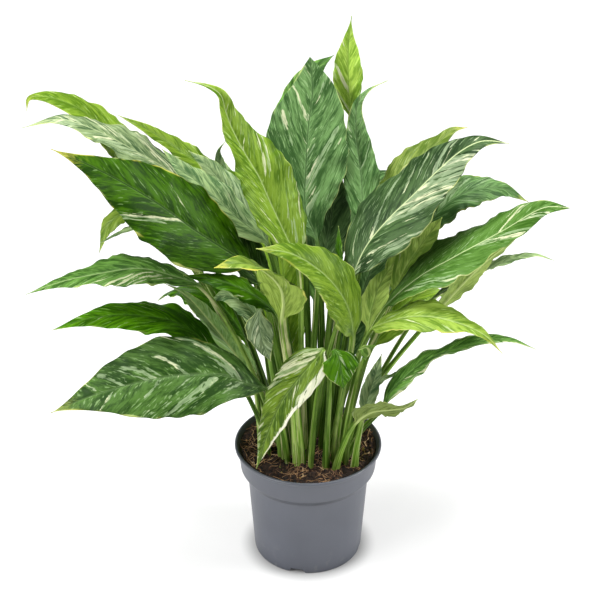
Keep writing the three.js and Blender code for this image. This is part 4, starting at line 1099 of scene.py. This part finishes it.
grow("left_curled", "leaf_silver", foot=(-16, 30), width=16, fold=0.4, wave=0.8,
     rib=[(-47, 56, 280), (-60, 60, 304), (-70, 63, 323), (-71, 64, 334), (-65, 65, 342)],
     face=[(0.4, -0.6, 0.5), (0.8, -0.4, -0.2)], cream=0.2, tone=0.5)
grow("left_small", "leaf_fresh", tint="lime", foot=(-30, 19), width=20, fold=0.25, wave=0.8,
     rib=[(-123, 29, 295), (-142, 23, 301), (-155, 17, 293), (-163, 11, 272)],
     face=[(-0.2, -0.4, 0.9), (-0.5, -0.4, 0.75), (-0.8, -0.4, 0.3)], streak=0.2, cream=0.1,
     tone=-0.63)
grow("left_spike", "leaf_deep", tint="silver", foot=(-29, 11), width=14, fold=0.3, wave=0.6,
     rib=[(-110, 18, 291), (-129, 13, 294), (-146, 8, 291), (-161, 3, 285)],
     face=[(0, 0.2, 1), (-0.1, 0.2, 1)], streak=0.2, cream=0.1, tone=0.4)
grow("left_level", "leaf_deep", tint="forest", foot=(-22, -6), width=38, wave=1.8, taper=1.5,
     rib=[(-83, -18, 258), (-106, -22, 271), (-128, -26, 279), (-158, -30, 277), (-189, -33, 271),
          (-215, -36, 262)], face=[(0.3, -0.1, 1), (0, -0.1, 1), (-0.2, -0.1, 1)],
     pale=[(-1, 0.15, 0.3, 0.2, 1, 0.6)], cream=0.45, line=0.3, stem=(0.85, 1), tone=0.26)
grow("left_lower", "leaf_deep", foot=(-31, -9), width=46, wave=2,
     rib=[(-60, -8, 175), (-80, -12, 203), (-103, -16, 225), (-141, -21, 235), (-171, -24, 233),
          (-199, -26, 224)], face=[(0.4, -0.1, 0.9), (0.1, -0.1, 1), (-0.2, -0.1, 1)], streak=0.35,
     stem=(0.5, 0.3), tone=0.85)
grow("left_low_big", "leaf_deep", tint="forest", foot=(-16, -23), width=64, fold=0.15, wave=3,
     belly=0.45, taper=1.6, sweep=0.95,
     rib=[(-30, -46, 181), (-44, -50, 189), (-64, -56.4, 202), (-91, -62.7, 207),
          (-121, -67.4, 205), (-163, -72.8, 195), (-197, -75, 180)],
     face=[(0.3, -0.6, 0.8), (0.1, -0.65, 0.75), (-0.1, -0.6, 0.8)],
     pale=[(1, 0.5, 0.57, 0, 0.6, 0.8), (1, 0.37, 0.41, 0, 0.6, 0.7), (1, 0.14, 0.2, 0, 1, 0.8),
           (1, 0.64, 0.69, 0, 0.9, 0.7), (-1, 0.24, 0.3, 0.1, 1, 0.9),
           (-1, 0.34, 0.38, 0.1, 0.9, 0.8), (-1, 0.12, 0.15, 0.1, 1, 0.7),
           (-1, 0.48, 0.51, 0, 0.5, 0.7)], streak=0.6, cream=0.28, line=-0.3, gold=0.3,
     silvery=0.4, stem=(0.7, 0.5), tone=-0.56)
grow("left_underside", "leaf_olive", tint="blue", foot=(-38, -2), width=32, fold=0.25, wave=1.4,
     rib=[(-43, 5, 151), (-54, 4, 177), (-75, 1, 213), (-97, -3, 244), (-112, -5, 254)],
     face=[(0.45, 0.8, 0.3), (0.45, 0.7, 0.5)],
     pale=[(1, 0.2, 0.35, 0.2, 1, 0.6), (-1, 0.5, 0.6, 0.2, 1, 0.5)], streak=0.9, cream=0.5,
     silvery=0.8, stem=(0.8, 0.9), tone=0.9)
grow("left_hanging", "leaf_silver", foot=(-21, -16), width=22, fold=0.25, wave=1,
     rib=[(-37, -41, 252), (-38, -47, 243), (-35, -50, 227), (-29, -52, 212)],
     face=[(-0.2, -0.6, 0.8), (-0.3, -0.9, 0.2), (-0.3, -0.9, 0.1)],
     pale=[(1, 0.1, 0.5, 0, 0.7, 0.6), (-1, 0.5, 0.8, 0.2, 1, 0.5)], streak=0.9, cream=0.6,
     silvery=0.5, stem=(0.2, 0.3), tone=-0.85)
grow("left_shadow", "leaf_deep", foot=(-9, -19), width=24, wave=1.2,
     rib=[(-26, -27, 239), (-41, -30, 257), (-64, -33, 271), (-95, -36, 279)],
     face=[(0.4, -0.2, 0.9), (0.3, -0.2, 0.9), (0.1, -0.2, 1)], stem=(0.5, 0.3), tone=-0.22)
grow("left_pale", "leaf_silver", foot=(-15, -4), width=22, wave=1,
     rib=[(-36, -10, 215), (-49, -10, 238), (-65, -10, 246), (-77, -10, 240)],
     face=[(0.4, -0.5, 0.7), (0.2, -0.5, 0.85), (0, -0.4, 0.9)], streak=0.9, cream=0.6,
     silvery=0.5, stem=(0.15, 0.3), tone=0.7)


# Far leaves: the plant's back, which the photograph leaves unseen. They arch away from the eye
# in two tiers, so that the plant is full all round, each on a stalk of its own.

grow("far_left", "leaf_deep", tint="forest", foot=(-27, 33), width=52, wave=2.2,
     rib=[(-50, 54, 256), (-70, 78, 278), (-90, 102, 282), (-108, 122, 268), (-121, 138, 244)],
     face=[(0.3, -0.5, 0.8), (-0.2, 0.3, 1), (-0.4, 0.5, 0.7)])
grow("far_right", "leaf_deep", tint="blue", foot=(24, 35), width=48, wave=2.2,
     rib=[(30, 47, 147), (41, 61, 194), (59, 80, 236), (82, 101, 257), (104, 121, 254),
          (122, 138, 236)], face=[(-0.1, -1, 0.3), (0, -0.5, 0.9), (0.4, 0.5, 0.7)], streak=0.3)
grow("far_middle", "leaf_deep", tint="forest", foot=(4, 39), width=44, wave=2.4,
     rib=[(6, 56, 200), (7, 88, 222), (9, 121, 226), (12, 154, 210), (15, 180, 184)],
     face=[(0, -0.7, 0.7), (0, 0, 1), (0, 0.6, 0.7)], streak=0.5, cream=0.35, stem=(0.1, 0))
grow("far_left_low", "leaf_deep", foot=(-32, 26), width=48, wave=2,
     rib=[(-50, 43, 170), (-78, 72, 195), (-106, 98, 190), (-130, 118, 165)],
     face=[(0.3, -0.4, 0.8), (0, 0.1, 1), (-0.3, 0.3, 0.9)], streak=0.3, cream=0.25)
grow("far_right_low", "leaf_fresh", foot=(32, 24), width=44, wave=2,
     rib=[(52, 43, 165), (80, 70, 190), (105, 93, 192), (122, 110, 175)],
     face=[(-0.3, -0.4, 0.8), (0, 0.1, 1), (0.3, 0.3, 0.9)], streak=0.3)
grow("far_right_high", "leaf_deep", tint="blue", foot=(14, 24), width=42, wave=2,
     rib=[(34, 50, 262), (46, 76, 288), (56, 104, 296), (64, 130, 280), (68, 148, 254)],
     face=[(-0.2, -0.6, 0.7), (0.1, 0.1, 1), (0.3, 0.5, 0.7)], streak=0.55, cream=0.4,
     stem=(0.05, 0))
grow("far_left_high", "leaf_fresh", foot=(-9, 34), width=42, wave=2,
     rib=[(-16, 44, 140), (-19, 54, 190), (-21, 76, 240), (-23, 108, 272), (-27, 142, 276),
          (-30, 166, 256)], face=[(-0.1, -1, 0.3), (-0.1, -0.5, 0.8), (-0.1, 0.6, 0.7)],
     streak=0.3)


# Inner leaves: three that the others half hide. They fill the heart of the plant and the side
# of the stalks, in the shade of the leaves above.

grow("inner_back", "leaf_deep", tint="blue", foot=(12, 33), stalk=(8, 6), width=34, wave=1.6,
     rib=[(10, 36, 235), (14, 39, 262), (18, 43, 285), (20, 48, 308), (22, 54, 332)],
     face=[(0, -1, 0.3)], cream=0.15, stem=(0.05, 0), tone=-0.52)
grow("inner_left", "leaf_deep", tint="forest", foot=(-25, 3), width=30, wave=1.2,
     rib=[(-34, -6, 250), (-44, -3, 272), (-56, 0, 292), (-66, 2, 305)], face=[(0.4, -0.6, 0.7)],
     cream=0.15, stem=(0.3, 0.2), tone=-0.52)
grow("inner_right", "leaf_silver", foot=(37, -31), width=14, fold=0.25, wave=0.8,
     rib=[(43, -32, 148), (48, -31, 170), (53, -29, 188), (57, -28, 204)],
     face=[(-0.3, -0.9, 0.3)], streak=0.5, cream=0.4, stem=(0.6, 0.6), tone=0.48)


# Studio: a seamless floor of pale paper that glows a little, so that only soft shadows mark it,
# its glow fading out round the pot's foot as a painted shadow, three large soft lights, to the
# left, to the right and above, and a weak white sky. The camera looks down on the plant by
# about 30 degrees.

FLOOR_SIZE = 12
FLOOR_GLOW = 0.66
GLOW_FROM = 0.037
GLOW_FULL = 0.06
SKY_STRENGTH = 0.08
WHITE = (1, 1, 1, 1)
BLACK = (0, 0, 0, 1)
LIT_PLACE = Vector((0, 0, 0.2))
LIGHTS = [
    ("left_light", (-1.7, -0.9, 1.5), 1.5, 62),
    ("right_light", (1.9, -0.3, 1.1), 1.0, 40),
    ("top_light", (-0.1, 0.2, 2.6), 1.3, 88),
]
SENSOR = 36
FRAME_PIXELS = 600
FOCAL_PIXELS = 1916.7
FARTHEST_SEEN = 20
CAMERA_PLACE = (-0.0066, -1.2938, 0.9951)
CAMERA_TILT = 59.6

floor = bmesh.new()
bmesh.ops.create_grid(floor, x_segments=2, y_segments=2, size=FLOOR_SIZE / 2)
floor = piece_from(floor, "studio_floor")
paper = Finish("white_paper")
grey = paper.noise(paper.position(), 3, 1)
# The floor's glow is off under the pot and fades in from GLOW_FROM to GLOW_FULL from its axis: a
# painted shadow round the pot's foot.
glow = paper.length(paper.position()).between(GLOW_FROM, GLOW_FULL)
floor.data.materials.append(paper.finished(
    paper.mixed(grey, (0.33, 0.33, 0.33, 1), (0.35, 0.35, 0.35, 1)), grey * 0.05 + 0.9,
    constants={"Emission Strength": FLOOR_GLOW}, glow=paper.mixed(glow, BLACK, WHITE)))

world = bpy.data.worlds.new("white_sky")
world.use_nodes = True
sky = world.node_tree.nodes["Background"].inputs
sky["Color"].default_value, sky["Strength"].default_value = WHITE, SKY_STRENGTH
bpy.context.scene.world = world

for name, place, size, power in LIGHTS:
    light = bpy.data.lights.new(name, "AREA")
    light.shape, light.size, light.energy = "DISK", size, power
    made = bpy.data.objects.new(name, light)
    made.location = place
    made.rotation_euler = (LIT_PLACE - Vector(place)).to_track_quat("-Z", "Y").to_euler()
    bpy.context.collection.objects.link(made)

camera = bpy.data.cameras.new("photo_camera")
camera.sensor_width = SENSOR
camera.lens = FOCAL_PIXELS / FRAME_PIXELS * SENSOR
camera.clip_end = FARTHEST_SEEN
stand = bpy.data.objects.new("photo_camera", camera)
stand.location = CAMERA_PLACE
stand.rotation_euler = (math.radians(CAMERA_TILT), 0, 0)
bpy.context.collection.objects.link(stand)
bpy.context.scene.camera = stand
bpy.context.scene.view_settings.view_transform = "Standard"
